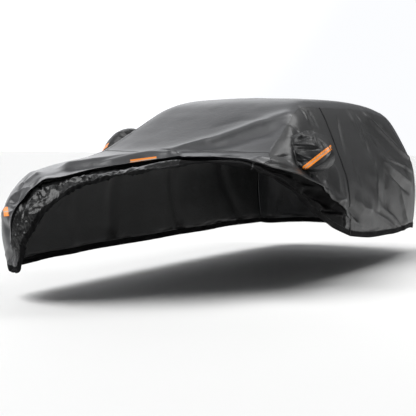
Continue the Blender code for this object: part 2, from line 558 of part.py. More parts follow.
def strip(name):
    """A reflective strip: the facets of the cloth that carries it, cut to its outline and set off from it."""
    carrier, start, end, width, facing = STRIPS[name]
    start, end, facing = Vector(start), Vector(end), Vector(facing)
    along = (end - start).normalized()
    across = facing.cross(along).normalized()
    facing = along.cross(across)
    middle = (start + end) / 2 - Vector((0.0, MOUNT_Y, MOUNT_HEIGHT))
    reach = (end - start).length
    cloth = bmesh.new()
    cloth.from_mesh(bpy.data.objects[carrier].data)
    for side, half in ((along, reach / 2), (-along, reach / 2), (across, width / 2), (-across, width / 2)):
        bmesh.ops.bisect_plane(
            cloth,
            geom=cloth.verts[:] + cloth.edges[:] + cloth.faces[:],
            dist=1e-6,
            plane_co=middle + side * half,
            plane_no=side,
            clear_outer=True,
        )
    facing_out = [face for face in cloth.faces if face.normal.dot(facing) > STRIP_SLOPE]
    laid = {min(facing_out, key=lambda face: (face.calc_center_median() - middle).length)}
    spread = list(laid)
    while spread:
        beside = {face for edge in spread.pop().edges for face in edge.link_faces}
        beside = {face for face in beside - laid if face.normal.dot(facing) > STRIP_SLOPE}
        laid |= beside
        spread += beside
    bmesh.ops.delete(cloth, geom=[face for face in cloth.faces if face not in laid], context="FACES")
    bmesh.ops.remove_doubles(cloth, verts=cloth.verts[:], dist=STRIP_MERGE)
    mesh = bpy.data.meshes.new(name)
    cloth.to_mesh(mesh)
    cloth.free()
    piece = place(name, mesh, "reflective_tape")
    gap = piece.modifiers.new("Gap to the cloth", "DISPLACE")
    gap.strength = STRIP_STAND_OFF
    gap.mid_level = 0.0
    thickness = piece.modifiers.new("Thickness", "SOLIDIFY")
    thickness.thickness = STRIP_CLOTH
    thickness.offset = 1.0
    return piece


def main():
    for leftover in list(bpy.data.objects):
        bpy.data.objects.remove(leftover, do_unlink=True)
    cover = bpy.data.collections.new("car_cover")
    bpy.context.scene.collection.children.link(cover)
    outer, cells = whole_cover()
    triangles = {name: halved(outer, part) for name, part in cells.items()}
    inner = outer - CLOTH * point_normals(outer, np.concatenate(list(triangles.values())))
    for name, finish in PANELS.items():
        sheet(name, outer, inner, triangles[name], finish)
    for name in POCKETS:
        pocket(name, outer, inner)
    for name in STRIPS:
        strip(name)


if __name__ == "__main__":
    main()
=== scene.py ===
"""Dresses the model of a fitted car cover: cloth with its folds and crumples, seams, hem, zip and strips.

X runs across the cover, with +X on the side where the zip is. The front faces -Y, and Z is up. Sizes are
in metres. The tables give heights above the ground. The model's origin is the mount, under the middle of
the roof.
"""

import math

import bpy
import numpy as np
from mathutils import Matrix, Vector
from mathutils.bvhtree import BVHTree


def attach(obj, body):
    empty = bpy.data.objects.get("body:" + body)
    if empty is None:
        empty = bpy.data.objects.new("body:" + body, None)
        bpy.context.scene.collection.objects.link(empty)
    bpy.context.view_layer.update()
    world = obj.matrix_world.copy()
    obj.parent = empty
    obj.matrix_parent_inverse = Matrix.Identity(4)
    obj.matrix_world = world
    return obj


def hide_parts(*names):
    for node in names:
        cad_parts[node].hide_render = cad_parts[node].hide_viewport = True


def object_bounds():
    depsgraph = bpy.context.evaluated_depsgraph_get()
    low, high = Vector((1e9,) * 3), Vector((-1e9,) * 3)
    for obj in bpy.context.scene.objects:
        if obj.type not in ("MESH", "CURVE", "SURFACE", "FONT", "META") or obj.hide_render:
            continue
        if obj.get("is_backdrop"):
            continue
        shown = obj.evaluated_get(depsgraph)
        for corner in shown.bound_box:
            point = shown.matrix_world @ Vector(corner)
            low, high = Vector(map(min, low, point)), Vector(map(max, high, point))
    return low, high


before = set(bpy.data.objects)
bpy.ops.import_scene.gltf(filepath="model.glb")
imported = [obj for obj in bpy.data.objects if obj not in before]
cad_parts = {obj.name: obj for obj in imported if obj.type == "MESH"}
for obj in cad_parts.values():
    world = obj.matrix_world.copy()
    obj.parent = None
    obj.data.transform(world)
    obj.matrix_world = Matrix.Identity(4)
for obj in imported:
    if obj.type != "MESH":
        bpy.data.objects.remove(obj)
CAD_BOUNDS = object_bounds()

bl_info = {
    "name": "Car cover",
    "version": (1, 0, 0),
    "blender": (4, 5, 0),
    "location": "3D View > Sidebar > Car cover",
    "description": "Makes the cloth, seams, zip and strips of a fitted car cover, and its studio",
    "category": "Add Mesh",
}

# Driving dimensions, in metres
MOUNT_Y = 0.75  # middle of the roof
MOUNT_HEIGHT = 1.4882  # underside of the roof there, above the ground
EDGE_SOFTNESS = 0.035  # how widely the cloth rounds where two sides of the form meet
CORE_FRONT = -1.15  # ends and height of the line inside the form from which the cloth is spread
CORE_REAR = 1.9
CORE_HEIGHT = 0.45

# Columns of the cover, counted round its edge from the front seam at -X
FRONT_COLUMNS = 24
SIDE_COLUMNS = 38
LEFT = FRONT_COLUMNS  # first column of the side at +X
REAR = LEFT + SIDE_COLUMNS
RIGHT = REAR + FRONT_COLUMNS
COLUMNS = RIGHT + SIDE_COLUMNS
ZIP = LEFT + 15  # the zip fills this column

# Rows of the cover, counted from the edge of the roof and screen down to the hem
WAIST = 7
LIP = WAIST + 5  # where the pulled-up front folds over itself
HEM = LIP + 6

# The form over which the cover hangs
TOP_LINE = (  # y, height: the middle line, seen from the side
    (-2.4, 0.620), (-2.2, 0.735), (-2.0, 0.840), (-1.8, 0.910), (-1.5, 0.973), (-1.2, 1.015),
    (-0.95, 1.045), (-0.8, 1.075), (-0.6, 1.155), (-0.4, 1.250), (-0.2, 1.350), (0.0, 1.435),
    (0.2, 1.475), (0.5, 1.487), (0.9, 1.490), (1.3, 1.482), (1.7, 1.450), (2.0, 1.400),
    (2.2, 1.345), (2.4, 1.280), (2.6, 1.200),
)
SIDE_LINE = (  # height, half width: the sides, seen from the front
    (0.0, 0.900), (0.2, 0.905), (0.45, 0.930), (0.7, 0.930), (0.85, 0.905), (0.95, 0.865),
    (1.1, 0.790), (1.2, 0.740), (1.3, 0.690), (1.4, 0.630), (1.5, 0.560),
)
FRONT_LINE = (  # height, y: the nose, seen from the side
    (0.0, -2.08), (0.3, -2.17), (0.5, -2.21), (0.65, -2.18), (0.75, -2.11), (0.85, -2.00),
    (1.0, -1.80),
)
REAR_LINE = (  # height, y: the tail, seen from the side
    (0.0, 2.36), (0.3, 2.45), (0.6, 2.49), (0.8, 2.47), (1.0, 2.38), (1.2, 2.26), (1.3, 2.19),
    (1.4, 2.10), (1.5, 1.98),
)
TAPER = (  # y, share of the half width: the sides, seen from above
    (-2.3, 0.78), (-2.0, 0.90), (-1.7, 0.96), (-1.4, 0.99), (-1.0, 1.00), (1.2, 1.00),
    (1.6, 0.985), (1.9, 0.955), (2.1, 0.925), (2.3, 0.885), (2.5, 0.83),
)
ROOF_CROWN = 0.02  # the top falls this much at CROWN_REACH from the middle
CROWN_REACH = 0.6
NOSE_BOW = 0.30  # the nose runs back this much at BOW_REACH from the middle
TAIL_BOW = 0.12
BOW_REACH = 0.9

# Where the cloth lies: column, then the point at the roof's edge, the waist, the lip and the hem
FRONT_STATIONS = (
    (0, (-0.74, -0.78, 1.05), (-0.88, -1.34, 0.78), (-0.78, -1.95, 0.29), (-0.80, -1.93, 0.21)),
    (2, (-0.65, -0.81, 1.05), (-0.78, -1.68, 0.88), (-0.70, -2.03, 0.32), (-0.69, -2.02, 0.21)),
    (4, (-0.52, -0.85, 1.05), (-0.70, -1.80, 0.85), (-0.60, -2.12, 0.42), (-0.56, -2.10, 0.23)),
    (6, (-0.39, -0.88, 1.05), (-0.62, -1.80, 0.88), (-0.58, -2.13, 0.56), (-0.45, -2.16, 0.40)),
    (8, (-0.26, -0.91, 1.05), (-0.53, -1.75, 0.91), (-0.55, -2.09, 0.69), (-0.34, -2.19, 0.52)),
    (10, (-0.13, -0.92, 1.05), (-0.45, -1.65, 0.93), (-0.50, -2.03, 0.77), (-0.25, -2.16, 0.66)),
    (12, (0.00, -0.93, 1.05), (-0.36, -1.55, 0.96), (-0.40, -1.96, 0.83), (-0.14, -2.07, 0.77)),
    (14, (0.13, -0.92, 1.05), (-0.24, -1.48, 0.97), (-0.25, -1.89, 0.87), (0.00, -1.95, 0.85)),
    (16, (0.26, -0.91, 1.05), (-0.10, -1.38, 0.99), (-0.10, -1.77, 0.92), (0.11, -1.86, 0.89)),
    (18, (0.39, -0.88, 1.05), (0.08, -1.27, 1.00), (0.10, -1.57, 0.96), (0.25, -1.79, 0.91)),
    (20, (0.52, -0.85, 1.05), (0.27, -1.13, 1.02), (0.30, -1.34, 0.99), (0.39, -1.55, 0.95)),
    (22, (0.65, -0.81, 1.05), (0.52, -1.06, 1.02), (0.55, -1.235, 0.99), (0.58, -1.38, 0.97)),
    (24, (0.74, -0.78, 1.05), (0.82, -0.97, 0.965), (0.80, -1.20, 0.96), (0.845, -1.286, 0.94)),
)
LEFT_STATIONS = (
    (24, (0.74, -0.78, 1.05), (0.82, -0.97, 0.965), (0.80, -1.20, 0.96), (0.845, -1.286, 0.94)),
    (26, (0.71, -0.62, 1.12), (0.84, -0.84, 0.965), (0.86, -1.06, 0.94), (0.88, -1.18, 0.90)),
    (28, (0.68, -0.46, 1.19), (0.865, -0.695, 0.97), (0.885, -0.90, 0.90), (0.90, -1.03, 0.86)),
    (30, (0.66, -0.31, 1.26), (0.875, -0.55, 0.96), (0.905, -0.72, 0.86), (0.92, -0.85, 0.78)),
    (32, (0.64, -0.17, 1.33), (0.88, -0.40, 0.96), (0.92, -0.56, 0.82), (0.935, -0.65, 0.69)),
    (34, (0.61, 0.00, 1.39), (0.89, -0.22, 0.93), (0.93, -0.36, 0.76), (0.94, -0.44, 0.58)),
    (36, (0.62, 0.14, 1.405), (0.90, -0.03, 0.91), (0.94, -0.13, 0.66), (0.94, -0.18, 0.48)),
    (39, (0.632, 0.360, 1.40), (0.90, 0.258, 0.89), (0.94, 0.288, 0.49), (0.935, 0.300, 0.35)),
    (40, (0.632, 0.384, 1.40), (0.90, 0.282, 0.89), (0.94, 0.312, 0.485), (0.935, 0.324, 0.345)),
    (44, (0.627, 0.70, 1.40), (0.90, 0.70, 0.86), (0.93, 0.72, 0.40), (0.92, 0.72, 0.30)),
    (50, (0.627, 1.15, 1.40), (0.90, 1.18, 0.86), (0.92, 1.20, 0.38), (0.91, 1.20, 0.28)),
    (56, (0.63, 1.55, 1.375), (0.88, 1.60, 0.85), (0.90, 1.62, 0.37), (0.90, 1.62, 0.27)),
    (60, (0.63, 1.81, 1.335), (0.84, 1.96, 0.84), (0.86, 2.00, 0.37), (0.86, 2.00, 0.275)),
    (62, (0.62, 1.92, 1.31), (0.78, 2.15, 0.84), (0.79, 2.20, 0.37), (0.79, 2.20, 0.28)),
)
REAR_STATIONS = (
    (62, (0.62, 1.92, 1.31), (0.78, 2.15, 0.84), (0.79, 2.20, 0.37), (0.79, 2.20, 0.28)),
    (66, (0.42, 1.98, 1.34), (0.55, 2.35, 0.85), (0.56, 2.36, 0.37), (0.56, 2.36, 0.27)),
    (74, (0.00, 2.02, 1.36), (0.00, 2.46, 0.86), (0.00, 2.42, 0.37), (0.00, 2.42, 0.26)),
    (82, (-0.42, 1.98, 1.34), (-0.55, 2.35, 0.85), (-0.56, 2.36, 0.36), (-0.56, 2.36, 0.26)),
    (86, (-0.62, 1.92, 1.31), (-0.78, 2.15, 0.84), (-0.79, 2.20, 0.35), (-0.79, 2.20, 0.26)),
)
RIGHT_STATIONS = (
    (86, (-0.62, 1.92, 1.31), (-0.78, 2.15, 0.84), (-0.79, 2.20, 0.35), (-0.79, 2.20, 0.26)),
    (88, (-0.63, 1.81, 1.335), (-0.84, 1.96, 0.84), (-0.86, 2.00, 0.35), (-0.86, 2.00, 0.25)),
    (92, (-0.63, 1.55, 1.375), (-0.88, 1.60, 0.85), (-0.90, 1.62, 0.34), (-0.90, 1.62, 0.25)),
    (98, (-0.627, 1.15, 1.40), (-0.90, 1.18, 0.86), (-0.92, 1.20, 0.33), (-0.91, 1.20, 0.24)),
    (104, (-0.627, 0.70, 1.40), (-0.90, 0.68, 0.87), (-0.93, 0.66, 0.33), (-0.92, 0.66, 0.24)),
    (109, (-0.632, 0.36, 1.40), (-0.90, 0.25, 0.88), (-0.94, 0.15, 0.32), (-0.935, 0.15, 0.23)),
    (112, (-0.62, 0.14, 1.405), (-0.90, -0.05, 0.89), (-0.94, -0.20, 0.32), (-0.935, -0.20, 0.23)),
    (114, (-0.61, 0.00, 1.39), (-0.90, -0.25, 0.90), (-0.94, -0.45, 0.32), (-0.93, -0.45, 0.23)),
    (116, (-0.64, -0.17, 1.33), (-0.90, -0.45, 0.91), (-0.94, -0.70, 0.31), (-0.93, -0.70, 0.23)),
    (118, (-0.66, -0.31, 1.26), (-0.90, -0.66, 0.92), (-0.94, -0.97, 0.31), (-0.93, -0.97, 0.22)),
    (120, (-0.68, -0.46, 1.19), (-0.90, -0.90, 0.91), (-0.93, -1.27, 0.30), (-0.92, -1.27, 0.22)),
    (122, (-0.71, -0.62, 1.12), (-0.90, -1.02, 0.80), (-0.90, -1.60, 0.30), (-0.89, -1.60, 0.21)),
    (124, (-0.74, -0.78, 1.05), (-0.88, -1.34, 0.78), (-0.78, -1.95, 0.29), (-0.80, -1.93, 0.21)),
)
SECTORS = (FRONT_STATIONS, LEFT_STATIONS, REAR_STATIONS, RIGHT_STATIONS)

# How strongly the front is folded over itself and gathered, from 0 to 1: column, fold, gather
GATHER_LINE = (
    (0, 0.0, 0.3), (3, 0.25, 0.7), (6, 0.7, 1.0), (10, 1.0, 1.0), (20, 1.0, 1.0), (26, 0.9, 0.8),
    (34, 1.0, 1.0), (37, 0.8, 0.9), (39, 0.3, 0.4), (44, 0.1, 0.3), (62, 0.0, 0.3), (124, 0.0, 0.3),
)
# The pulled-up edge, from the lip to the hem: share of the way, height off the form where it is folded
FOLD_SECTION = (
    (0.00, 0.034), (-0.08, 0.006), (0.20, 0.004), (0.48, 0.020), (0.74, 0.012), (0.90, 0.014),
    (1.00, 0.004),
)
PLAIN_SECTION = (0.0, 0.17, 0.34, 0.5, 0.67, 0.84, 1.0)  # the same rows where the cloth hangs plain
GATHER_DEPTH = 0.010
GATHER_WAVES = (  # short gathers: height, turns for each column and row, and where they start
    (0.6, 1.37, 0.9, 0.0), (0.4, 2.23, -1.3, 1.7), (0.3, 0.71, 2.1, 0.4),
)
CORNER_FADE = 1.2  # columns, over which what isn't the same at both ends of the count fades out
LIP_RISE = 0.014  # how far the cloth stands off the form just before the lip
RAY_REACH = (0.2, 2.5)  # where along a ray the form is looked for, as shares of it
RAY_HALVINGS = 26
SLOPE_STEP = 0.002

# Main folds: height, half width, then the points of its crest
FOLDS = (
    # the tension fold across the screen
    (0.022, 0.085, ((-0.12, -0.93, 1.05), (0.22, -0.6, 1.155), (0.43, -0.355, 1.26), (0.6, -0.19, 1.33))),
    (-0.014, 0.09, ((0.20, -0.80, 1.08), (0.42, -0.62, 1.13), (0.60, -0.47, 1.18))),
    # the step across the front that carries the reflective strip
    (0.045, 0.075, ((-0.48, -1.58, 0.95), (-0.30, -1.44, 0.98), (-0.06, -1.24, 1.01), (0.10, -1.17, 1.02))),
    (-0.020, 0.07, ((-0.40, -1.66, 0.93), (-0.12, -1.45, 0.98), (0.10, -1.32, 1.00))),
    # soft creases at the front corner
    (0.018, 0.06, ((-0.72, -1.72, 0.89), (-0.55, -1.86, 0.86), (-0.42, -1.94, 0.84))),
    (-0.022, 0.05, ((-0.70, -2.00, 0.71), (-0.60, -2.06, 0.70), (-0.55, -2.05, 0.73))),
    (0.018, 0.045, ((-0.76, -1.98, 0.62), (-0.64, -2.08, 0.60))),
    (-0.016, 0.04, ((-0.66, -2.08, 0.52), (-0.62, -2.10, 0.40), (-0.68, -2.04, 0.30))),
    # swags below the mirror pocket
    (0.030, 0.055, ((0.78, -0.98, 1.00), (0.84, -0.90, 0.97), (0.90, -0.62, 0.90), (0.93, -0.39, 0.81))),
    (0.030, 0.050, ((0.90, -0.78, 0.85), (0.93, -0.48, 0.79), (0.94, -0.18, 0.74), (0.95, 0.00, 0.64))),
    (-0.030, 0.055, ((0.93, -0.62, 0.77), (0.94, -0.40, 0.71), (0.95, -0.20, 0.65))),
    (0.034, 0.075, ((0.90, 0.02, 0.90), (0.94, 0.02, 0.75), (0.95, 0.08, 0.60))),
    # creases round the mirror pocket
    (0.014, 0.045, ((0.70, -0.36, 1.22), (0.77, -0.50, 1.12), (0.86, -0.66, 0.97))),
    (-0.012, 0.05, ((0.64, 0.03, 1.38), (0.72, 0.02, 1.25), (0.80, 0.02, 1.10))),
    # diagonal folds towards the rear corner
    (0.016, 0.065, ((0.67, 1.00, 1.33), (0.79, 1.16, 1.09), (0.92, 1.36, 0.77), (0.90, 1.80, 0.36))),
    (0.018, 0.060, ((0.66, 1.36, 1.33), (0.74, 1.62, 1.19), (0.80, 1.90, 1.00), (0.80, 2.14, 0.88))),
    (-0.016, 0.060, ((0.72, 1.30, 1.22), (0.82, 1.55, 1.02), (0.86, 1.86, 0.86))),
    (0.014, 0.055, ((0.87, 1.24, 0.95), (0.90, 1.55, 0.82), (0.88, 1.98, 0.70))),
    (0.014, 0.060, ((0.88, 0.92, 0.94), (0.94, 0.92, 0.76), (0.94, 0.94, 0.56))),
    (-0.014, 0.070, ((0.91, 0.62, 0.86), (0.94, 1.12, 0.60), (0.90, 1.72, 0.37))),
    # plain hanging folds on the side that the photograph hides, and at the tail
    (0.016, 0.075, ((-0.80, -0.30, 1.08), (-0.93, -0.35, 0.80), (-0.94, -0.40, 0.40))),
    (0.016, 0.080, ((-0.78, 0.55, 1.12), (-0.93, 0.60, 0.78), (-0.94, 0.72, 0.36))),
    (0.015, 0.075, ((-0.74, 1.35, 1.18), (-0.90, 1.50, 0.80), (-0.90, 1.85, 0.36))),
    (-0.015, 0.080, ((-0.90, -1.20, 0.86), (-0.94, -1.05, 0.60), (-0.94, -1.00, 0.32))),
    (0.015, 0.080, ((0.30, 2.25, 1.15), (0.42, 2.42, 0.85), (0.55, 2.36, 0.42))),
    (0.015, 0.080, ((-0.24, 2.27, 1.15), (-0.34, 2.44, 0.80), (-0.50, 2.38, 0.40))),
)

# Mirror pockets, sewn over oval holes in the sides: first and last column of the hole, its first and last
# row, the oval's middle and half its length and height, both in y and height, and the way to the bag's tip
POCKETS = {
    "mirror_pocket_left": ((28, 34), (2, 8), (-0.38, 1.043), (0.175, 0.140), (0.222, 0.03, 0.02)),
    "mirror_pocket_right": ((114, 120), (2, 8), (-0.33, 1.07), (0.15, 0.125), (-0.190, 0.05, 0.06)),
}
POCKET_CORNERS = 0.3  # 0.5 makes the seam oval, and 0 square
POCKET_LEAN = 0.5  # how far the seam leans back for each metre up
POCKET_SWELL = 0.24  # how much wider the bag is than its seam, about half way out
POCKET_REACH = 1.6  # the cloth is drawn towards the oval up to this many times the hole's half size
POCKET_WAVES = (  # share of the wrinkles' height, length and seed
    (0.8, 0.16, 21), (0.45, 0.055, 22),
)
# Puckers round a radian, their turns on the way out, how far in they reach, and seed
POCKET_PUCKERS = (4.5, 0.8, 0.3, 23)
POCKET_CELLS = {"mirror_pocket_left": 104, "mirror_pocket_right": 80}  # across and up the flat bag
POCKET_RIM = 72  # points of the seam from which the bag's middle is taken
POCKET_FREE = 0.1  # share of the way in from the seam over which the wrinkles grow

# Finer folds, as the photograph shows them: height, half width, how much narrower their steep side is (the
# right side along the path), then the path in pixels of the photograph
SEEN_CREASES = {
    # bonnet and front corner
    "bonnet crown": (0.007, 0.060, 0.7, ((55, 173), (74, 167), (100, 160.5))),
    "corner ridge": (0.008, 0.045, 0.6, ((18, 186), (29, 180), (40, 172))),
    "corner crease": (-0.008, 0.024, 0.6, ((40, 178), (36, 183), (32, 189))),
    "corner crease behind": (-0.006, 0.022, 0.7, ((27, 178), (22, 186), (17, 194))),
    "corner light edge": (0.007, 0.026, 0.5, ((31, 188), (22, 190), (12, 196))),
    "corner hollow": (-0.016, 0.045, 0.7, ((21, 195), (14, 200), (8, 202))),
    "corner fold": (0.009, 0.020, 0.5, ((6, 204), (12, 206), (19, 208))),
    "corner second fold": (0.008, 0.018, 0.5, ((9, 214), (14, 211), (19, 208))),
    "hanging edge": (0.010, 0.022, 0.5, ((25, 198), (23, 205), (18.4, 214.4), (15.3, 223), (16, 229))),
    "hanging edge below": (0.010, 0.022, 0.5, ((16, 229), (14.5, 240), (10, 246.6), (3.8, 259.6))),
    "corner panel crease": (-0.006, 0.030, 0.8, ((3, 220), (8, 230), (14, 236))),
    "bunch one": (0.010, 0.020, 0.6, ((16, 229), (23, 226), (31, 222))),
    "bunch two": (0.010, 0.020, 0.6, ((20, 222), (28, 217), (38, 214))),
    "bunch three": (0.009, 0.020, 0.6, ((26, 214), (35, 209), (46, 206))),
    "bunch four": (0.009, 0.018, 0.6, ((34, 208), (42, 202), (50, 198))),
    "bunch five": (0.009, 0.020, 0.6, ((14, 240), (20, 236), (28, 233))),
    "bunch six": (0.009, 0.020, 0.6, ((10, 250), (16, 246), (24, 242))),
    "light swell": (0.014, 0.035, 0.5, ((30, 203), (38, 196), (47, 190), (57, 187))),
    "light swell behind": (0.010, 0.026, 0.6, ((57, 187), (70, 182), (84, 178))),
    # screen
    "screen foot ridge": (0.009, 0.030, 0.5, ((157, 153.7), (190, 152.6), (220, 152.4), (251, 153))),
    "screen foot light": (0.006, 0.018, 0.6, ((167, 158.7), (180, 157), (191, 156))),
    "screen foot light two": (0.006, 0.018, 0.6, ((203, 155.8), (210, 156.2), (218, 158))),
    "screen foot hollow": (-0.012, 0.035, 0.7, ((219, 156.6), (230, 155.6), (243, 157.4))),
    "screen foot swell": (0.012, 0.045, 0.8, ((248, 161.5), (257, 160.6), (266, 161))),
    "screen ridge": (0.014, 0.060, 0.5, ((165, 151), (220, 138), (258, 124), (290, 115))),
    "screen shade": (-0.014, 0.085, 0.8, ((196, 149), (232, 143), (262, 134), (284, 124))),
    "screen band": (0.005, 0.060, 0.8, ((215, 146), (245, 140), (275, 137))),
    "screen upper band": (-0.004, 0.060, 0.8, ((205, 130), (240, 120), (285, 118))),
    # side before the zip
    "pillar streak": (0.008, 0.022, 0.6, ((301.7, 109.4), (305, 114.5), (310, 124))),
    "pillar hollow": (-0.007, 0.030, 0.7, ((308, 110), (313, 118), (318, 128))),
    "crumple one": (0.008, 0.016, 0.5, ((287, 127), (291, 132), (294, 139))),
    "crumple two": (-0.009, 0.016, 0.6, ((290, 125), (296, 129), (299, 133))),
    "crumple three": (-0.007, 0.014, 0.6, ((284, 138), (289, 137), (294, 137))),
    "crumple four": (-0.010, 0.018, 0.6, ((286, 149), (291, 147), (295, 145))),
    "crumple five": (0.008, 0.014, 0.5, ((288, 160), (292, 163), (294, 166))),
    "crumple six": (-0.010, 0.018, 0.6, ((275, 156), (282, 156), (289, 156))),
    "pucker one": (-0.008, 0.014, 0.6, ((312, 173), (311, 176), (309, 180))),
    "pucker two": (-0.008, 0.014, 0.6, ((317, 171), (316.5, 176), (316, 180))),
    "hanging panel": (0.014, 0.045, 0.45, ((321, 171), (325, 182), (327, 194), (330, 205))),
    "panel hollow": (-0.010, 0.035, 0.6, ((328.5, 176), (328.5, 186), (329, 196))),
    "panel ridge": (0.008, 0.030, 0.6, ((335, 168), (337, 180), (339, 196))),
    "panel ridge behind": (0.006, 0.026, 0.7, ((343, 176), (345, 188), (347, 200))),
    "flap": (0.014, 0.035, 0.5, ((329, 208), (334, 203), (341, 199.5), (347, 200))),
    "flap edge": (0.012, 0.020, 0.4, ((331, 214), (340, 215.5), (347, 214))),
    "slit": (-0.026, 0.013, 0.5, ((320, 211.5), (328, 212.6), (335.5, 213))),
    "swag one": (0.014, 0.028, 0.4, ((269, 168), (289, 173), (303, 178.5), (315, 184))),
    "swag one shade": (-0.022, 0.020, 0.6, ((290, 177), (301, 182), (315, 185))),
    "swag two": (0.014, 0.028, 0.4, ((281, 176), (294, 187), (305.5, 189.5), (320, 190), (326, 198))),
    "swag hollow": (-0.036, 0.034, 0.6, ((303, 191), (313, 196), (324, 202))),
    "swag three": (0.010, 0.016, 0.5, ((296, 188), (305.5, 195), (314, 202), (325, 207.5))),
    "swag four": (0.008, 0.022, 0.5, ((268, 169), (285, 182), (303, 200), (318, 213), (332, 223))),
    # side behind the zip
    "zip pull": (-0.011, 0.030, 0.6, ((336.7, 116), (340, 132), (343, 146), (346, 157))),
    "diagonal one": (0.011, 0.035, 0.6, ((350, 115), (359, 132), (367, 150))),
    "diagonal one shade": (-0.014, 0.028, 0.6, ((359, 122), (366, 140), (370, 156))),
    "diagonal two": (0.014, 0.035, 0.5, ((355, 113), (370.5, 138), (380, 152))),
    "diagonal three": (0.019, 0.035, 0.45, ((362, 111), (378, 130), (398.6, 151), (410, 160))),
    "diagonal three shade": (-0.026, 0.045, 0.7, ((370, 116), (385, 129), (399, 146))),
    "diagonal four": (0.016, 0.026, 0.5, ((380, 156), (393, 162), (404, 166), (412, 172))),
    "diagonal five": (0.018, 0.028, 0.5, ((380.7, 157.6), (392, 169), (403, 178), (411, 184))),
    "diagonal five shade": (-0.016, 0.035, 0.7, ((386, 172), (398, 182), (410, 193))),
    "diagonal six": (0.018, 0.028, 0.5, ((386, 170), (398, 189), (401, 203), (405, 218), (408, 225))),
    "upright crease": (0.011, 0.020, 0.3, ((375.6, 158), (376.6, 180), (377, 203))),
    "upright hollow": (-0.013, 0.060, 0.8, ((386, 170), (386, 190), (389, 212))),
    "lower swell": (0.021, 0.060, 0.6, ((354, 198), (362, 208), (373, 211))),
    "lower hollow": (-0.026, 0.035, 0.6, ((349, 208), (354, 214), (359, 221))),
    "foot streak one": (0.013, 0.022, 0.5, ((372, 212), (384, 219), (397, 229))),
    "foot streak two": (0.011, 0.020, 0.5, ((381, 207), (391, 216), (401, 227))),
    "small dent one": (-0.008, 0.016, 0.6, ((352, 158), (353, 166), (355, 176))),
    "small dent two": (-0.008, 0.014, 0.6, ((357, 172), (358, 178), (361, 186))),
    "zip flap shade": (-0.016, 0.014, 0.5, ((343.4, 217), (343.6, 221), (343.4, 226))),
}
FOLD_HEIGHT = 1.3  # all of these heights and widths are multiplied by these
FOLD_WIDTH = 0.87
POCKET_CREASES = {  # the same, on the mirror pocket at +X
    "top edge": (0.012, 0.024, 0.5, ((295, 140), (301, 136), (306.7, 132.5), (319, 134))),
    "front dent": (-0.010, 0.024, 0.7, ((299, 141), (305, 137.5), (310, 138))),
    "facet": (0.008, 0.022, 0.4, ((312, 134), (314, 140), (316, 147))),
    "level fold": (0.010, 0.018, 0.4, ((294, 144.5), (304, 145), (316, 146.6))),
    "level shade": (-0.010, 0.014, 0.6, ((294, 149), (305, 149), (320, 148.6))),
    "low fold one": (0.009, 0.014, 0.5, ((294, 151), (299, 155), (303, 160))),
    "low fold two": (0.008, 0.014, 0.5, ((297, 153), (304, 157), (312, 160))),
    "low dent": (-0.010, 0.016, 0.6, ((292, 155), (297, 161), (303, 165))),
    "back dent": (-0.006, 0.030, 0.8, ((321, 141), (326, 148), (327, 156))),
}
# The fold whose face carries the strip on the bonnet: its height, half width, steep side and crest
STRIP_FOLD = (
    0.034, 0.050, 0.8,
    (
        (-0.30, -1.56, 0.96), (-0.20, -1.47, 0.97), (-0.105, -1.365, 0.99), (0.015, -1.215, 1.0),
        (0.07, -1.15, 1.01),
    ),
)
# Reflective strips in view: the cloth that carries each, where the photograph shows the ends of its middle
# line, in pixels, and its width in metres
SEEN_STRIPS = {
    "strip_front": ("bonnet_cloth", (130.3, 161.8), (156.6, 158.5), 0.031),
    "strip_corner": ("bonnet_cloth", (3.4, 211.9), (8.4, 211.2), 0.066),
    "strip_mirror_left": ("mirror_bag_left", (302.2, 169.9), (333.0, 145.9), 0.036),
}
# The strip on the other pocket: its cloth, its two ends, its width, and the direction it faces
HIDDEN_STRIPS = {
    "strip_mirror_right": (
        "mirror_bag_right", (-0.93, -0.47, 1.09), (-1.00, -0.31, 0.99), 0.038, (-0.7, -0.7, 0.1)
    ),
}
STRIP_SECTION = (0.0003, 0.0012)  # how far a strip's underside and its face are off the cloth
STRIP_REACH = 0.07  # how far from the cloth the line of a strip is looked for
STRIP_POINTS = 25
TAPE_RIB = 0.0012
STRIP_STEP = 0.006
CREST_SHAPE = 1.6  # 2 makes a fold's section a bell, less makes its crest sharper
CREST_REACH = 3  # a fold is worked out this far from its crest, in half widths
CREST_TURN = 0.3  # how soon the steep side turns into the other across the crest, in half widths
CREST_ENDS = (0.35, 0.25)  # share of its length over which a fold grows at each end, and what it starts from
CREASE_STEP = 5  # pixels between the points of a crease on the cloth
SIGHT = (6.5, 13.0, 0.04)  # where along a line of sight the nearest cloth is looked for, and the step
LATTICE = 32
NOISE_GAIN = 1.6
RIDGE_GAIN = 2.6
RIDGE_ROUNDNESS = 0.002
LOOSE_WAVES = (  # share of the wrinkles' height, lengths in x, y and z, and seed
    (1.0, (0.34, 0.34, 0.6), 1), (0.35, (0.12, 0.12, 0.2), 2),
)
LOOSE_RIDGES = (0.4, (0.26, 0.26, 0.55), 8)
LOOSE_ROWS = 4  # rows below the roof's edge over which the loose ridges grow
CRUMPLE_TURNS = (2.6, 0.9, 0.5)  # crumples for each column, their slant and their turns for each row
CRUMPLE_BENDS = (0.5, 0.6, 3)  # how far the crumples bend, bends for each of them, and seed
CRUMPLE_CREASES = (0.4, 2.1, 7.3, 5)  # share of the height, how much finer, how far shifted, and seed
CRUMPLE_SEED = 4
CRUMPLE_ROWS = (0.4, 1.2)  # the crumples start this far below the lip, and grow over this many rows
GATHER_ROWS = (0.5, 1.5)  # the same for the short gathers
HEM_GROOVE = (0.006, 0.004, 0.0008)  # the hem's groove: how far below its edge, half width and depth
HEM_SEED = 6
HEM_STEP = (0.003, 0.006, 0.0016)  # where the hem's band rises, how widely, and how far
HEM_GATHERS = (3.1, 0.2, 0.002)  # gathers for each column, their length and their height
HEM_GATHER_BAND = (0.10, 0.08)  # the gathers end this far above the hem, and grow over this length
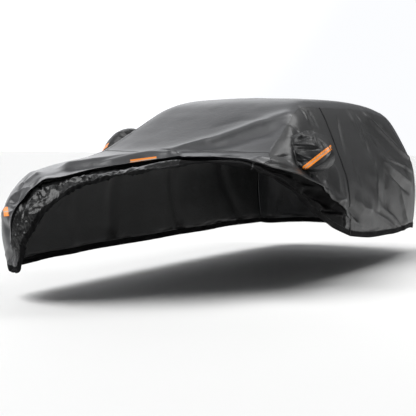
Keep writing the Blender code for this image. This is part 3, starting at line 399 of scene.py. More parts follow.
# How strongly the edge is crumpled, from 0 to 1, by column
CRUMPLE_LINE = (
    (0, 0.9), (4, 1.0), (15, 1.0), (19, 0.6), (22, 0.25), (30, 0.15), (39, 0.12), (50, 0.08),
    (62, 0.15), (74, 0.10), (86, 0.15), (100, 0.08), (116, 0.25), (124, 0.9),
)
SEAM_WIDTH = 0.010
SEAM_HEIGHT = 0.0011
SEAM_DEPTH = 0.0006  # how far a seam reaches into the cloth
SEAM_EDGE = 0.6  # share of its height that a seam has lost at its edges
SEAM_POINTS = (14, 10, 200)  # for each row, for each column, and round a pocket
LIGHT_SEAMS = (6, 8)  # along the roof's sides and the screen's: these take the top cloth, lighter to paint the light line seen along them; the rest take the turned cloth's painted shade
STITCH = (0.0052, 0.0011, 0.0007)  # length, width and height
STITCH_PITCH = 0.008
STITCH_BEVEL = 0.4  # share of a stitch's height
SEAM_ROWS = 0.3  # how far the two rows of stitches are off a seam's middle, as a share of its width
LINE_STEP = 0.012  # along seams and the zip's edges
LINE_POINTS = 40  # for each row, along the zip
HEM_STITCH_INSET = 0.006
HEM_POINTS = (16, 121)  # for each column, and from the lip down
STITCH_HEIGHTS = (SEAM_HEIGHT, 0.0001, 0.0012)  # off the cloth: on the seams, the hem and the zip
ZIP_PITCH = 0.0032
ZIP_TOOTH = (0.0019, 0.0052, 0.0018)  # length, width and height
ZIP_CROWN = 0.0016
ZIP_CROWN_WIDTH = 0.16  # columns
ZIP_EDGE = 0.012  # how far the zip's tape laps over the cloth on each side
ZIP_EDGE_SECTION = (0.0002, 0.0012, 5)  # its underside and face off the cloth, and points across
ZIP_CELLS = (14, 250)
ZIP_MAP = (0.024, 0.08)
ZIP_BEVEL = 0.0004
ZIP_SEAT = 0.0004  # how far the middle of a tooth is above the crown
ZIP_MESH = 0.42  # how far each row of teeth is off the middle, as a share of a tooth's width
ZIP_STITCH_COLUMNS = (ZIP - 0.3, ZIP + 1.3)

# The sheets below the roof's edge: node, first and last column, cells across and down, kind (top takes the
# cloth in painted light, side the same cloth in painted shade), and the pocket that has its hole there
SHEETS = {
    "bonnet_cloth": ("bonnet_panel", (0, LEFT), (204, 190), "top", None),
    "tail_cloth": ("tail_panel", (REAR, RIGHT), (96, 108), "top", None),
    "side_cloth_front": ("left_side_front", (LEFT, ZIP), (150, 162), "side", "mirror_pocket_left"),
    "side_cloth_rear": ("left_side_rear", (ZIP + 1, REAR), (154, 144), "side", None),
    "side_cloth_right": ("right_side", (RIGHT, COLUMNS), (152, 90), "side", "mirror_pocket_right"),
}
SHEET_MAP = (0.08, 0.08)  # metres of weave for each column and row
TURNED_FROM = 0.5  # the edge counts as turned up past this share
DARK_FROM = FRONT_COLUMNS - 4  # column, from which the turned-up edge takes the hem's painted shade
ROOF_CELLS = (100, 200)
ROOF_MAP = (0.055, 0.075)
BAG_MAP = 0.2
CLOTH_REACH = 0.012  # how far in and out the cloth is looked for under a seam or a stitch
SHARP_ANGLE = math.radians(50)  # between the faces of a strip

# The camera, from the photograph
CAMERA_AT = (4.3542, -8.1639, 1.221)
CAMERA_YAW = 0.5107
CAMERA_PITCH = 0.0709
PHOTO_SIDE = 416  # pixels
CAMERA_SENSOR = 0.036
CAMERA_LENS = 0.09588

# The studio: a pale backdrop behind the cover, a glow over it, a dimmer room, a soft key light and one above
BACKDROP_AT = (-0.633, 0.774, 0.0)
GLOW_AT = (-0.70, 0.61, 0.37)
GLOW = 1.3
ROOM_LIGHT = 0.15
SKY = (  # direction, how nearly a ray has to run that way to see some and all of it, dimmest and brightest
    (BACKDROP_AT, 0.86, 0.93, ROOM_LIGHT, 1.0),
    (GLOW_AT, 0.86, 0.985, 0.0, GLOW),
)
SKY_COLOUR = (0.97, 0.98, 1.0, 1.0)
KEY_FROM = (-0.34, -0.46, 0.82)
KEY_WIDTH = 0.8
OVERHEAD_AT = (1.9, 0.9, 3.2)
OVERHEAD_AIM = (0.6, 0.2, -0.6)
OVERHEAD_SIZE = (1.6, 3.0)
FLOOR_SIZE = 80

NEAR_CLOTHS = ("bonnet_panel", "roof_panel", "tail_panel", "left_side_front", "left_side_rear", "zip")
DRESSED = (
    "bonnet_cloth", "roof_cloth", "tail_cloth", "side_cloth_front", "side_cloth_rear", "side_cloth_right",
    "mirror_bag_left", "mirror_bag_right",
)
MOUNT = np.array((0.0, MOUNT_Y, MOUNT_HEIGHT))


def smooth(keys, values, at):
    """Values of the smooth curve through the rows of a table, at the given keys."""
    keys = np.asarray(keys, float)
    values = np.asarray(values, float)
    at = np.asarray(at, float)
    slopes = np.gradient(values, keys, axis=0)
    row = np.clip(np.searchsorted(keys, at, side="right") - 1, 0, len(keys) - 2)
    step = keys[row + 1] - keys[row]
    share = np.clip((at - keys[row]) / step, 0.0, 1.0)
    if values.ndim > 1:
        step = step[..., None]
        share = share[..., None]
    rest = 1.0 - share
    return (
        (1 + 2 * share) * rest**2 * values[row]
        + share * rest**2 * step * slopes[row]
        + share**2 * (3 - 2 * share) * values[row + 1]
        - share**2 * rest * step * slopes[row + 1]
    )


def line(table, at):
    """The second column of a two-column table, at keys given in its first."""
    return smooth([row[0] for row in table], [row[1] for row in table], at)


def outside(points):
    """Distance of points outside the form, nearly; negative inside it."""
    x, y, z = points[..., 0], points[..., 1], points[..., 2]
    reach = np.abs(x)
    sides = np.stack([
        z - line(TOP_LINE, y) + ROOF_CROWN * (reach / CROWN_REACH) ** 2,
        reach - line(SIDE_LINE, z) * line(TAPER, y),
        line(FRONT_LINE, z) + NOSE_BOW * (reach / BOW_REACH) ** 3 - y,
        y - line(REAR_LINE, z) + TAIL_BOW * (reach / BOW_REACH) ** 2,
    ])
    nearest = sides.max(axis=0)
    return nearest + EDGE_SOFTNESS * np.log(np.exp((sides - nearest) / EDGE_SOFTNESS).sum(axis=0))


def on_form(points):
    """Moves points out or in along rays from the core line, until they lie on the form."""
    core = np.zeros_like(points)
    core[..., 1] = np.clip(points[..., 1], CORE_FRONT, CORE_REAR)
    core[..., 2] = CORE_HEIGHT
    ray = points - core
    near, far = (np.full(points.shape[:-1], reach) for reach in RAY_REACH)
    for _ in range(RAY_HALVINGS):
        middle = (near + far) / 2
        within = outside(core + ray * middle[..., None]) < 0
        near = np.where(within, middle, near)
        far = np.where(within, far, middle)
    return core + ray * near[..., None]


def form_normals(points):
    """Outward directions of the form at points on it."""
    slope = np.empty_like(points)
    for axis in range(3):
        step = np.zeros(3)
        step[axis] = SLOPE_STEP
        slope[..., axis] = outside(points + step) - outside(points - step)
    return slope / np.linalg.norm(slope, axis=-1, keepdims=True)


def guide(column, ring):
    """Points of one of the four rings of the stations: 0 roof edge, 1 waist, 2 lip, 3 hem."""
    column = np.mod(np.asarray(column, float), COLUMNS)
    points = np.empty(column.shape + (3,))
    for stations in SECTORS:
        keys = [row[0] for row in stations]
        here = (column >= keys[0]) & (column <= keys[-1])
        points[here] = smooth(keys, [row[1 + ring] for row in stations], column[here])
    return points


def gather_at(column):
    keys = [row[0] for row in GATHER_LINE]
    return smooth(keys, [row[1:] for row in GATHER_LINE], np.mod(column, COLUMNS))


def crumple(column, row):
    """Uneven waves of short gathers, between about -1 and 1."""
    return sum(
        height * np.sin(by_column * column + by_row * row + start)
        for height, by_column, by_row, start in GATHER_WAVES
    )


def fold_lift(points):
    """How far the main folds lift the cloth off the form at each point."""
    lift = np.zeros(points.shape[:-1])
    for height, half_width, crest in FOLDS:
        away = np.full(points.shape[:-1], np.inf)
        for start, end in zip(np.array(crest[:-1]), np.array(crest[1:])):
            run = end - start
            share = np.clip((points - start) @ run / (run @ run), 0.0, 1.0)
            away = np.minimum(away, np.linalg.norm(points - start - share[..., None] * run, axis=-1))
        lift += height * np.exp(-((away / half_width) ** 2))
    return lift


def drawn_to_pockets(points, column, row):
    """Draws the cloth near each mirror pocket in or out, so that the pocket's hole is an oval."""
    for (first_column, last_column), (first_row, last_row), middle, reach, _ in POCKETS.values():
        side = 1 if first_column < REAR else -1
        across = side * (2 * column - first_column - last_column) / (last_column - first_column)
        down = (2 * row - first_row - last_row) / (last_row - first_row)
        far = np.maximum(np.abs(across), np.abs(down))
        beyond = np.maximum(far, 1)
        z = middle[1] - reach[1] * down * np.sqrt(1 - POCKET_CORNERS * (across / beyond) ** 2)
        y = middle[0] + reach[0] * across * np.sqrt(1 - POCKET_CORNERS * (down / beyond) ** 2)
        y += POCKET_LEAN * (z - middle[1])
        oval = np.stack([side * line(SIDE_LINE, z) * line(TAPER, y), y, z], axis=-1)
        share = np.clip((POCKET_REACH - far) / (POCKET_REACH - 1), 0, 1)[..., None]
        points = points + share**2 * (3 - 2 * share) * (oval - points)
    return points


def from_corner(column):
    """Fades from 1 to 0 towards the corner where the columns' count starts and ends."""
    column = np.mod(column, COLUMNS)
    return eased(np.minimum(column, COLUMNS - column) / CORNER_FADE)


def cover_base(column, row):
    """Points of the form below the roof's edge, the way out, and how far off it the cloth lies."""
    column, row = np.broadcast_arrays(np.asarray(column, float), np.asarray(row, float))
    roof, waist, lip, hem = (guide(column, ring) for ring in range(4))
    folded, gathered = np.moveaxis(gather_at(column), -1, 0)
    upper = np.clip(row / WAIST, 0, 1)[..., None]
    lower = np.clip((row - WAIST) / (LIP - WAIST), 0, 1)[..., None]
    steps = np.arange(HEM - LIP + 1)
    in_edge = np.clip(row - LIP, 0, HEM - LIP)
    plain = smooth(steps, PLAIN_SECTION, in_edge)
    turned = smooth(steps, [share for share, _ in FOLD_SECTION], in_edge)
    way = (folded * turned + (1 - folded) * plain)[..., None]
    points = np.where(row[..., None] <= WAIST, roof + (waist - roof) * upper, waist + (lip - waist) * lower)
    points = np.where(row[..., None] <= LIP, points, lip + (hem - lip) * way)
    points = on_form(drawn_to_pockets(points, column, row))
    lift = fold_lift(points)
    fold_rows = np.append([LIP - 3, LIP - 1], LIP + steps)
    lift += folded * smooth(fold_rows, [0.0, LIP_RISE] + [height for _, height in FOLD_SECTION], row)
    start, growth = GATHER_ROWS
    near_hem = np.clip((row - LIP - start) / growth, 0, 1)
    lift += GATHER_DEPTH * gathered * near_hem * crumple(column, row) * from_corner(column)
    return points, form_normals(points), lift


def roof_base(column, across):
    """The same for the roof and screen: across runs from 0 at the edge at +X to 1 at the other edge."""
    column, across = np.broadcast_arrays(np.asarray(column, float), np.asarray(across, float))
    along = ((column - LEFT) / SIDE_COLUMNS)[..., None]
    share = across[..., None]
    left, right = guide(column, 0), guide(COLUMNS - (column - LEFT), 0)
    front, rear = guide(LEFT - FRONT_COLUMNS * across, 0), guide(REAR + FRONT_COLUMNS * across, 0)
    front_left, front_right, rear_left, rear_right = guide(np.array([LEFT, 0, REAR, RIGHT]), 0)
    between_sides = (1 - share) * left + share * right
    between_ends = (1 - along) * front + along * rear
    corners = (1 - along) * ((1 - share) * front_left + share * front_right)
    corners = corners + along * ((1 - share) * rear_left + share * rear_right)
    points = on_form(between_sides + between_ends - corners)
    return points, form_normals(points), fold_lift(points)


def between(grid, column, row):
    """Points on the straight lines between the numbered points of a grid."""
    low_column = np.clip(np.floor(column).astype(int), 0, grid.shape[0] - 2)
    low_row = np.clip(np.floor(row).astype(int), 0, grid.shape[1] - 2)
    share_column, share_row = column - low_column, row - low_row
    if grid.ndim > 2:
        share_column, share_row = share_column[..., None], share_row[..., None]
    near = grid[low_column, low_row] * (1 - share_row) + grid[low_column, low_row + 1] * share_row
    far = grid[low_column + 1, low_row] * (1 - share_row) + grid[low_column + 1, low_row + 1] * share_row
    return near * (1 - share_column) + far * share_column


def eased(share):
    """Smooth steps from 0 to 1."""
    share = np.clip(share, 0, 1)
    return share * share * (3 - 2 * share)


def noise(points, seed):
    """Soft random waves between about -1 and 1, with one or two of them for each unit of length."""
    slopes = np.random.default_rng(seed).normal(size=(LATTICE, LATTICE, LATTICE, 3))
    slopes /= np.linalg.norm(slopes, axis=-1, keepdims=True)
    cell = np.floor(points).astype(int)
    share = points - cell
    blend = share**3 * (share * (share * 6 - 15) + 10)
    total = np.zeros(points.shape[:-1])
    for corner in np.ndindex(2, 2, 2):
        x, y, z = np.moveaxis((cell + corner) % LATTICE, -1, 0)
        weight = np.where(corner, blend, 1 - blend).prod(axis=-1)
        total += weight * (slopes[x, y, z] * (share - corner)).sum(axis=-1)
    return NOISE_GAIN * total


def ridges(points, seed):
    """Random folds with narrow crests and wide hollows, between about -1 and 1."""
    return 1 - RIDGE_GAIN * np.sqrt(noise(points, seed) ** 2 + RIDGE_ROUNDNESS)


class Crest:
    """A fold's crest: its points, height, half width, and how much narrower its steep side is."""

    def __init__(self, points, height, half_width, steep):
        self.points = np.array(points)
        self.height = height
        self.half_width = half_width
        self.steep = steep

    def lift(self, points, out):
        """How far the fold lifts the cloth at each point."""
        reach = CREST_REACH * self.half_width
        lift = np.zeros(len(points))
        low, high = self.points.min(axis=0) - reach, self.points.max(axis=0) + reach
        near = np.all((points > low) & (points < high), axis=1)
        spots, facing = points[near], out[near]
        away = np.full(len(spots), np.inf)
        side = np.zeros(len(spots))
        along = np.zeros(len(spots))
        done = 0.0
        for start, end in zip(self.points[:-1], self.points[1:]):
            run = end - start
            share = np.clip((spots - start) @ run / (run @ run), 0.0, 1.0)
            gap = spots - start - share[:, None] * run
            here = np.linalg.norm(gap, axis=1)
            closer = here < away
            side = np.where(closer, (np.cross(run, gap) * facing).sum(axis=1) / np.linalg.norm(run), side)
            along = np.where(closer, done + share * np.linalg.norm(run), along)
            away = np.minimum(away, here)
            done += np.linalg.norm(run)
        turn = 0.5 + 0.5 * np.tanh(side / (CREST_TURN * self.half_width))
        half = self.half_width * (self.steep + (1 - self.steep) * turn)
        ends = eased(np.minimum(along, done - along) / (CREST_ENDS[0] * done) + CREST_ENDS[1])
        lift[near] = self.height * ends * np.exp(-((away / half) ** CREST_SHAPE))
        return lift


def tree_of(name):
    """A search tree of one object's faces."""
    mesh = bpy.data.objects[name].data
    return BVHTree.FromPolygons(positions(mesh).tolist(), [tuple(face.vertices) for face in mesh.polygons])


def photo_ray(pixel):
    """Where the camera stands, and the direction in which it sees a pixel of the photograph."""
    aim = Matrix.Rotation(CAMERA_YAW, 3, "Z") @ Matrix.Rotation(math.pi / 2 - CAMERA_PITCH, 3, "X")
    half = PHOTO_SIDE / 2
    far = CAMERA_LENS / CAMERA_SENSOR * PHOTO_SIDE
    sight = aim @ Vector((pixel[0] - half, half - pixel[1], -far))
    return Vector(CAMERA_AT) - Vector(MOUNT), sight.normalized()


def seen_on(trees, pixel):
    """The point, in the tables' frame, where the camera sees a pixel on the cloth, or the nearest cloth."""
    start, sight = photo_ray(pixel)
    hits = [tree.ray_cast(start, sight) for tree in trees]
    hits = [hit for hit in hits if hit[0] is not None]
    if hits:
        place = min(hits, key=lambda hit: hit[3])[0]
    else:
        spots = [start + sight * reach for reach in np.arange(*SIGHT)]
        nearest = [tree.find_nearest(spot) for tree in trees for spot in spots]
        place = min(nearest, key=lambda hit: hit[3])[0]
    return np.array(place) + MOUNT


def crests_seen(creases, trees):
    """The crests of a table of creases, traced on the cloth."""
    crests = []
    for height, half_width, steep, path in creases.values():
        points = []
        for start, end in zip(path[:-1], path[1:]):
            steps = max(1, round(math.dist(start, end) / CREASE_STEP))
            points += [Vector(start).lerp(Vector(end), step / steps) for step in range(steps)]
        points.append(Vector(path[-1]))
        points = [seen_on(trees, pixel) for pixel in points]
        crests.append(Crest(points, FOLD_HEIGHT * height, FOLD_WIDTH * half_width, steep))
    return crests


class Cloth:
    """The surface of the whole cover, with all its folds."""

    def __init__(self, settings):
        self.settings = settings
        self.crests = crests_seen(SEEN_CREASES, [tree_of(name) for name in NEAR_CLOTHS])
        height, half_width, steep, crest = STRIP_FOLD
        self.crests.append(Crest(crest, height, half_width, steep))
        columns = np.linspace(0, COLUMNS, 4 * COLUMNS + 1)
        rows = np.linspace(0, HEM, 4 * HEM + 1)
        points, out, lift = cover_base(columns[:, None], rows)
        points = points + out * lift[..., None]
        steps = np.linalg.norm(np.diff(points, axis=1), axis=-1)
        below = np.cumsum(steps[:, ::-1], axis=1)[:, ::-1]
        self.below = np.concatenate([below, np.zeros((len(columns), 1))], axis=1)

    def to_hem(self, column, row):
        """Length of cloth from each point down to the hem."""
        return between(self.below, np.mod(column, COLUMNS) * 4, row * 4)

    def wrinkles(self, points, column, row):
        """Small lifts of the cloth: loose waves all over, and crumples along the pulled-up edge."""
        lift = sum(share * noise(points / lengths, seed) for share, lengths, seed in LOOSE_WAVES)
        share, lengths, seed = LOOSE_RIDGES
        lift += share * ridges(points / lengths, seed) * eased(row / LOOSE_ROWS)
        strength = line(CRUMPLE_LINE, np.mod(column, COLUMNS))
        by_column, slant, by_row = CRUMPLE_TURNS
        place = np.stack([by_column * column + slant * row, by_row * row, 0 * row], axis=-1)
        reach, turns, seed = CRUMPLE_BENDS
        place[..., 0] += reach * noise(place * turns, seed)
        share, finer, shift, seed = CRUMPLE_CREASES
        folds = ridges(place, CRUMPLE_SEED) + share * ridges(place * finer + shift, seed)
        start, growth = CRUMPLE_ROWS
        edge = eased((row - LIP - start) / growth) * strength * from_corner(column)
        return self.settings.wrinkle_height * lift + self.settings.crumple_height * edge * folds

    def hem(self, column, row):
        """How far the folded and stitched hem stands off, and its gathers."""
        up = self.to_hem(column, row)
        width = self.settings.hem_width
        above, softness, rise = HEM_STEP
        lift = rise * eased((width + above - up) / softness)
        inset, half_width, depth = HEM_GROOVE
        lift -= depth * np.exp(-(((up - width + inset) / half_width) ** 2))
        by_column, length, height = HEM_GATHERS
        gathers = height * noise(np.stack([column * by_column, up / length, 0 * up], axis=-1), HEM_SEED)
        top, growth = HEM_GATHER_BAND
        return lift + gathers * eased((top - up) / growth) * from_corner(column)

    def below_roof(self, column, row):
        """Points below the roof's edge, with the way out at each."""
        column, row = (value.ravel() for value in np.broadcast_arrays(np.asarray(column, float), row))
        return self.folded(*cover_base(column, row), self.hem(column, row), column, row)

    def roof(self, column, across):
        """Points of the roof and screen, with the way out at each."""
        column, across = (value.ravel() for value in np.broadcast_arrays(np.asarray(column, float), across))
        return self.folded(*roof_base(column, across), 0.0, column, 0 * column)

    def folded(self, points, out, lift, hem, column, row):
        """Points of the form lifted by the folds, crests and wrinkles, with the way out at each."""
        laid = points + out * lift[:, None]
        lift += sum(crest.lift(laid, out) for crest in self.crests)
        lift += self.wrinkles(points, column, row) + hem
        return points + out * lift[:, None], out


def chosen(sheet):
    """Makes a piece the only one selected, and the active one."""
    bpy.ops.object.select_all(action="DESELECT")
    sheet.select_set(True)
    bpy.context.view_layer.objects.active = sheet


def positions(mesh):
    places = np.empty(3 * len(mesh.vertices))
    mesh.vertices.foreach_get("co", places)
    return places.reshape(-1, 3)


def set_positions(mesh, places):
    mesh.vertices.foreach_set("co", np.asarray(places, float).ravel())
    mesh.update()


def select_cells(sheet, low, high):
    """Selects the faces of a flat grid whose middles lie between two corners."""
    mesh = sheet.data
    middles = np.empty(3 * len(mesh.polygons))
    mesh.polygons.foreach_get("center", middles)
    middles = middles.reshape(-1, 3)[:, :2]
    picked = np.all((middles > low) & (middles < high), axis=1)
    bpy.ops.object.mode_set(mode="EDIT")
    bpy.ops.mesh.select_mode(type="FACE")
    bpy.ops.mesh.select_all(action="DESELECT")
    bpy.ops.object.mode_set(mode="OBJECT")
    mesh.polygons.foreach_set("select", picked)
    bpy.ops.object.mode_set(mode="EDIT")


def flat_grid(name, low, high, steps, hole=()):
    """A flat grid in columns and rows up from the hem, with a hole between two columns and two rows."""
    bpy.ops.object.select_all(action="DESELECT")
    bpy.ops.mesh.primitive_grid_add(x_subdivisions=steps[0], y_subdivisions=steps[1], size=2)
    sheet = bpy.context.object
    sheet.name = sheet.data.name = name
    places = positions(sheet.data)
    places[:, :2] = (places[:, :2] + 1) / 2 * (np.array(high) - low) + low
    set_positions(sheet.data, places)
    if hole:
        (first_column, last_column), (first_row, last_row) = hole
        select_cells(sheet, (first_column, HEM - last_row), (last_column, HEM - first_row))
        bpy.ops.mesh.delete(type="FACE")
        bpy.ops.object.mode_set(mode="OBJECT")
    return sheet


def add_uv(sheet, flat):
    """A map of the cloth's weave, in metres."""
    mesh = sheet.data
    corners = np.empty(len(mesh.loops), int)
    mesh.loops.foreach_get("vertex_index", corners)
    for layer in list(mesh.uv_layers):
        mesh.uv_layers.remove(layer)
    layer = mesh.uv_layers.new(name="Weave")
    layer.uv.foreach_set("vector", flat[corners].ravel())


def thicken(sheet, thickness, offset=-1.0, lining=True):
    """Gives a sheet its thickness, and its inner side the second material."""
    chosen(sheet)
    cloth = sheet.modifiers.new("Thickness", "SOLIDIFY")
    cloth.thickness = thickness
    cloth.offset = offset
    cloth.material_offset = 1 if lining else 0
    bpy.ops.object.modifier_apply(modifier=cloth.name)
    bpy.ops.object.shade_smooth()


def finish_piece(piece, nodes, materials):
    """Fixes a piece to the cover's body, in place of the model's own nodes."""
    for material in materials:
        piece.data.materials.append(material)
    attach(piece, "root")
    if nodes:
        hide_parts(*nodes)


def spot_on(trees, point, out, reach):
    """Where a line from outside meets the cloth near a point, in the tables' frame."""
    start = Vector(point - MOUNT + out * reach)
    hits = [tree.ray_cast(start, -Vector(out), 3 * reach) for tree in trees]
    hits = [hit for hit in hits if hit[0] is not None]
    if not hits:
        hits = [tree.find_nearest(Vector(point - MOUNT)) for tree in trees]
    return np.array(min(hits, key=lambda hit: hit[3])[0]) + MOUNT


def settled(trees, points, out, reach=CLOTH_REACH):
    """Points moved in or out until they lie on the finished cloth."""
    return np.array([spot_on(trees, point, way, reach) for point, way in zip(points, out)])


def evened(points, out, pitch, closed=False):
    """A line's points spaced evenly, with the way out at each."""
    if closed:
        points, out = np.concatenate([points, points[:1]]), np.concatenate([out, out[:1]])
    lengths = np.concatenate([[0], np.cumsum(np.linalg.norm(np.diff(points, axis=0), axis=1))])
    count = max(2, round(lengths[-1] / pitch) + 1)
    at = np.linspace(0, lengths[-1], count)
    if closed:
        at = at[:-1]
    points = np.stack([np.interp(at, lengths, points[:, axis]) for axis in range(3)], axis=-1)
    out = np.stack([np.interp(at, lengths, out[:, axis]) for axis in range(3)], axis=-1)
    return points, out / np.linalg.norm(out, axis=1, keepdims=True)


def directions(points, out, closed=False):
    """The way along a line and the way across it, at each of its points."""
    if closed:
        along = np.roll(points, -1, axis=0) - np.roll(points, 1, axis=0)
    else:
        along = np.gradient(points, axis=0)
    across = np.cross(along, out)
    across /= np.linalg.norm(across, axis=1, keepdims=True)
    along = np.cross(out, across)
    return along / np.linalg.norm(along, axis=1, keepdims=True), across


def new_piece(name, points, faces):
    """A piece made from points and faces, with its faces turned outward."""
    mesh = bpy.data.meshes.new(name)
    mesh.from_pydata(points.tolist(), [], faces)
    piece = bpy.data.objects.new(name, mesh)
    bpy.context.scene.collection.objects.link(piece)
    chosen(piece)
    bpy.ops.object.mode_set(mode="EDIT")
    bpy.ops.mesh.select_all(action="SELECT")
    bpy.ops.mesh.normals_make_consistent(inside=False)
    bpy.ops.object.mode_set(mode="OBJECT")
    return piece


def ribbon(name, points, out, section, trees, closed=False, reach=CLOTH_REACH):
    """A narrow closed strip laid on the cloth along a line, its section points across and off the cloth."""
    _, across = directions(points, out, closed)
    rings = []
    for sideways, off in section:
        spots = settled(trees, points + across * sideways, out, reach)
        rings.append(spots + out * off - MOUNT)
    rings = np.stack(rings, axis=1)
    count, around = rings.shape[:2]
    faces = []
    for ring in range(count if closed else count - 1):
        following = (ring + 1) % count
        for corner in range(around):
            other = (corner + 1) % around
            faces.append((ring * around + corner, ring * around + other, following * around + other,
                          following * around + corner))
    if not closed:
        faces.append(tuple(range(around))[::-1])
        faces.append(tuple((count - 1) * around + corner for corner in range(around)))
    strip = new_piece(name, rings.reshape(-1, 3), faces)
    lengths = np.concatenate([[0], np.cumsum(np.linalg.norm(np.diff(points, axis=0), axis=1))])
    flat = np.stack([np.repeat(lengths, around), np.tile([place[0] for place in section], count)], axis=-1)
    add_uv(strip, flat)
    bpy.ops.object.shade_smooth_by_angle(angle=SHARP_ANGLE)
    return strip


def small_part(size, bevel):
    """The points and faces of a small rounded block at the origin."""
    bpy.ops.object.select_all(action="DESELECT")
    bpy.ops.mesh.primitive_cube_add(size=1)
    block = bpy.context.object
    block.scale = size
    bpy.ops.object.transform_apply(location=False, rotation=False, scale=True)
    bpy.ops.object.mode_set(mode="EDIT")
    bpy.ops.mesh.select_all(action="SELECT")
    bpy.ops.mesh.bevel(offset=bevel, segments=1)
    bpy.ops.object.mode_set(mode="OBJECT")
    places = positions(block.data)
    faces = [tuple(face.vertices) for face in block.data.polygons]
    bpy.data.objects.remove(block, do_unlink=True)
    return places, faces


def copies(name, block, points, along, across, out):
    """One mesh of many copies of a small block, each turned to its place."""
    places, faces = block
    turned = np.stack([along, across, out], axis=1)
    turned = (places @ turned + points[:, None] - MOUNT).reshape(-1, 3)
    starts = range(0, len(turned), len(places))
    every = [tuple(corner + start for corner in face) for start in starts for face in faces]
    return new_piece(name, turned, every)


def stitches(name, lines, trees, off):
    """Rows of stitches along lines on the cloth: each is its points, the way out, and the place across it."""
    block = small_part(STITCH, STITCH[2] * STITCH_BEVEL)
    parts = []
    for points, out, sideways, closed in lines:
        points, out = evened(points, out, STITCH_PITCH, closed)
        along, across = directions(points, out, closed)
        spots = settled(trees, points + across * sideways, out) + out * off
        parts.append((spots, along, across, out))
    spots, along, across, out = (np.concatenate([part[item] for part in parts]) for item in range(4))
    return copies(name, block, spots, along, across, out)


class Value:
    """A number or colour in a material, with which shader maths is written as plain expressions."""

    def __init__(self, finish, socket):
        self.finish = finish
        self.socket = socket

    def maths(self, operation, *others):
        return self.finish.add("ShaderNodeMath", {"operation": operation}, [self, *others])

    def __add__(self, other):
        return self.maths("ADD", other)

    __radd__ = __add__

    def __sub__(self, other):
        return self.maths("SUBTRACT", other)

    def __rsub__(self, other):
        return self.finish.add("ShaderNodeMath", {"operation": "SUBTRACT"}, [other, self])

    def __mul__(self, other):
        return self.maths("MULTIPLY", other)

    __rmul__ = __mul__

    def __lt__(self, other):
        return self.maths("LESS_THAN", other)

    def __abs__(self):
        return self.maths("ABSOLUTE")

    def sine(self):
        return self.maths("SINE")

    def part(self, axis):
        """One of the three numbers of a vector."""
        return self.finish.add("ShaderNodeSeparateXYZ", {}, [self], axis)


class Nodes:
    """A node tree that is being made."""

    def __init__(self, tree):
        self.tree = tree

    def add(self, kind, settings, inputs, output=0):
        """A node of any kind: its settings first, then the values or links of its sockets."""
        node = self.tree.nodes.new(kind)
        for setting, value in settings.items():
            setattr(node, setting, value)
        for socket, value in inputs.items() if isinstance(inputs, dict) else enumerate(inputs):
            if isinstance(value, Value):
                self.tree.links.new(value.socket, node.inputs[socket])
            else:
                node.inputs[socket].default_value = value
        return Value(self, node.outputs[output])


class Finish(Nodes):
    """A material that is being made."""

    def __init__(self, name, **constants):
        self.material = bpy.data.materials.new(name)
        self.material.use_nodes = True
        super().__init__(self.material.node_tree)
        self.shader = self.tree.nodes["Principled BSDF"]
        for socket, value in constants.items():
            self.shader.inputs[socket.replace("_", " ")].default_value = value

    def feed(self, socket, value):
        self.tree.links.new(value.socket, self.shader.inputs[socket])

    def place(self):
        """Places on the whole object, in metres."""
        spot = self.add("ShaderNodeTexCoord", {}, {}, "Object")
        return self.add("ShaderNodeMapping", {}, {"Vector": spot})

    def weave_place(self, pitch):
        """Places in the weave, with one thread for each unit."""
        spot = self.add("ShaderNodeUVMap", {"uv_map": "Weave"}, {})
        return self.add("ShaderNodeMapping", {}, {"Vector": spot, "Scale": (1 / pitch, 1 / pitch, 1.0)})

    def noise(self, spot, scale, detail=3.0, roughness=0.55, distortion=0.0):
        inputs = {"Vector": spot, "Scale": scale, "Detail": detail}
        inputs.update(Roughness=roughness, Distortion=distortion)
        return self.add("ShaderNodeTexNoise", {}, inputs)

    def tint(self, share, first, second):
        """A colour between two, by a share from 0 to 1."""
        return self.add(
            "ShaderNodeMix", {"data_type": "RGBA"}, {0: share, 6: (*first, 1.0), 7: (*second, 1.0)}, 2
        )

    def bump(self, height, distance, before=None):
        inputs = {"Height": height, "Distance": distance, "Strength": 1.0}
        if before is not None:
            inputs["Normal"] = before
        return self.add("ShaderNodeBump", {}, inputs)


def shade(colour, share):
    return tuple(value * share for value in colour)


def cloth_finish(name, colour, roughness, shine, coat=0.0, weave=0.0006):
    """Coated woven polyester: a fine weave, small creases, an uneven sheen, and painted shade that darkens
    the turned-up edge, which faces down.
    """
    finish = Finish(name, Coat_Weight=coat, Coat_Roughness=0.34, Specular_IOR_Level=shine)
    spot = finish.place()
    broad = finish.noise(spot, scale=2.6)
    fine = finish.noise(spot, scale=34.0, detail=4.0, roughness=0.6)
    thread = finish.weave_place(weave)
    warp = (thread.part(0) * math.pi).sine()
    weft = (thread.part(1) * math.pi).sine()
    threads = abs(warp) * 0.5 + abs(weft) * 0.5
    wear = finish.noise(spot, scale=9.0, detail=5.0, roughness=0.62, distortion=0.6)
    mottling_and_painted_shade = finish.tint(broad * 0.6 + wear * 0.3 + threads * 0.1, shade(colour, 0.82), shade(colour, 1.2))
    sheen = roughness - 0.08 + 0.10 * broad + 0.06 * fine
    # Where the attribute turned marks the pulled-up edge, the colour is mixed to a much darker tint: painted
    # shade for cloth facing down
    turned = finish.add("ShaderNodeAttribute", {"attribute_name": "turned"}, {}, "Fac")
    dark = finish.tint(broad, shade(colour, 0.16), shade(colour, 0.30))
    mottling_and_painted_shade = finish.add("ShaderNodeMix", {"data_type": "RGBA"}, {0: turned, 6: mottling_and_painted_shade, 7: dark}, 2)
    sheen = sheen - 0.08 * turned
    finish.feed("Base Color", mottling_and_painted_shade)
    finish.feed("Roughness", sheen)
    crinkle = finish.noise(spot, scale=16.0, detail=2.5, roughness=0.5, distortion=0.8)
    soft = finish.bump(1 - abs(crinkle * 2 - 1), distance=0.0016)
    small = finish.bump(fine, distance=0.0007, before=soft)
    finish.feed("Normal", finish.bump(threads, distance=0.00006, before=small))
    return finish.material


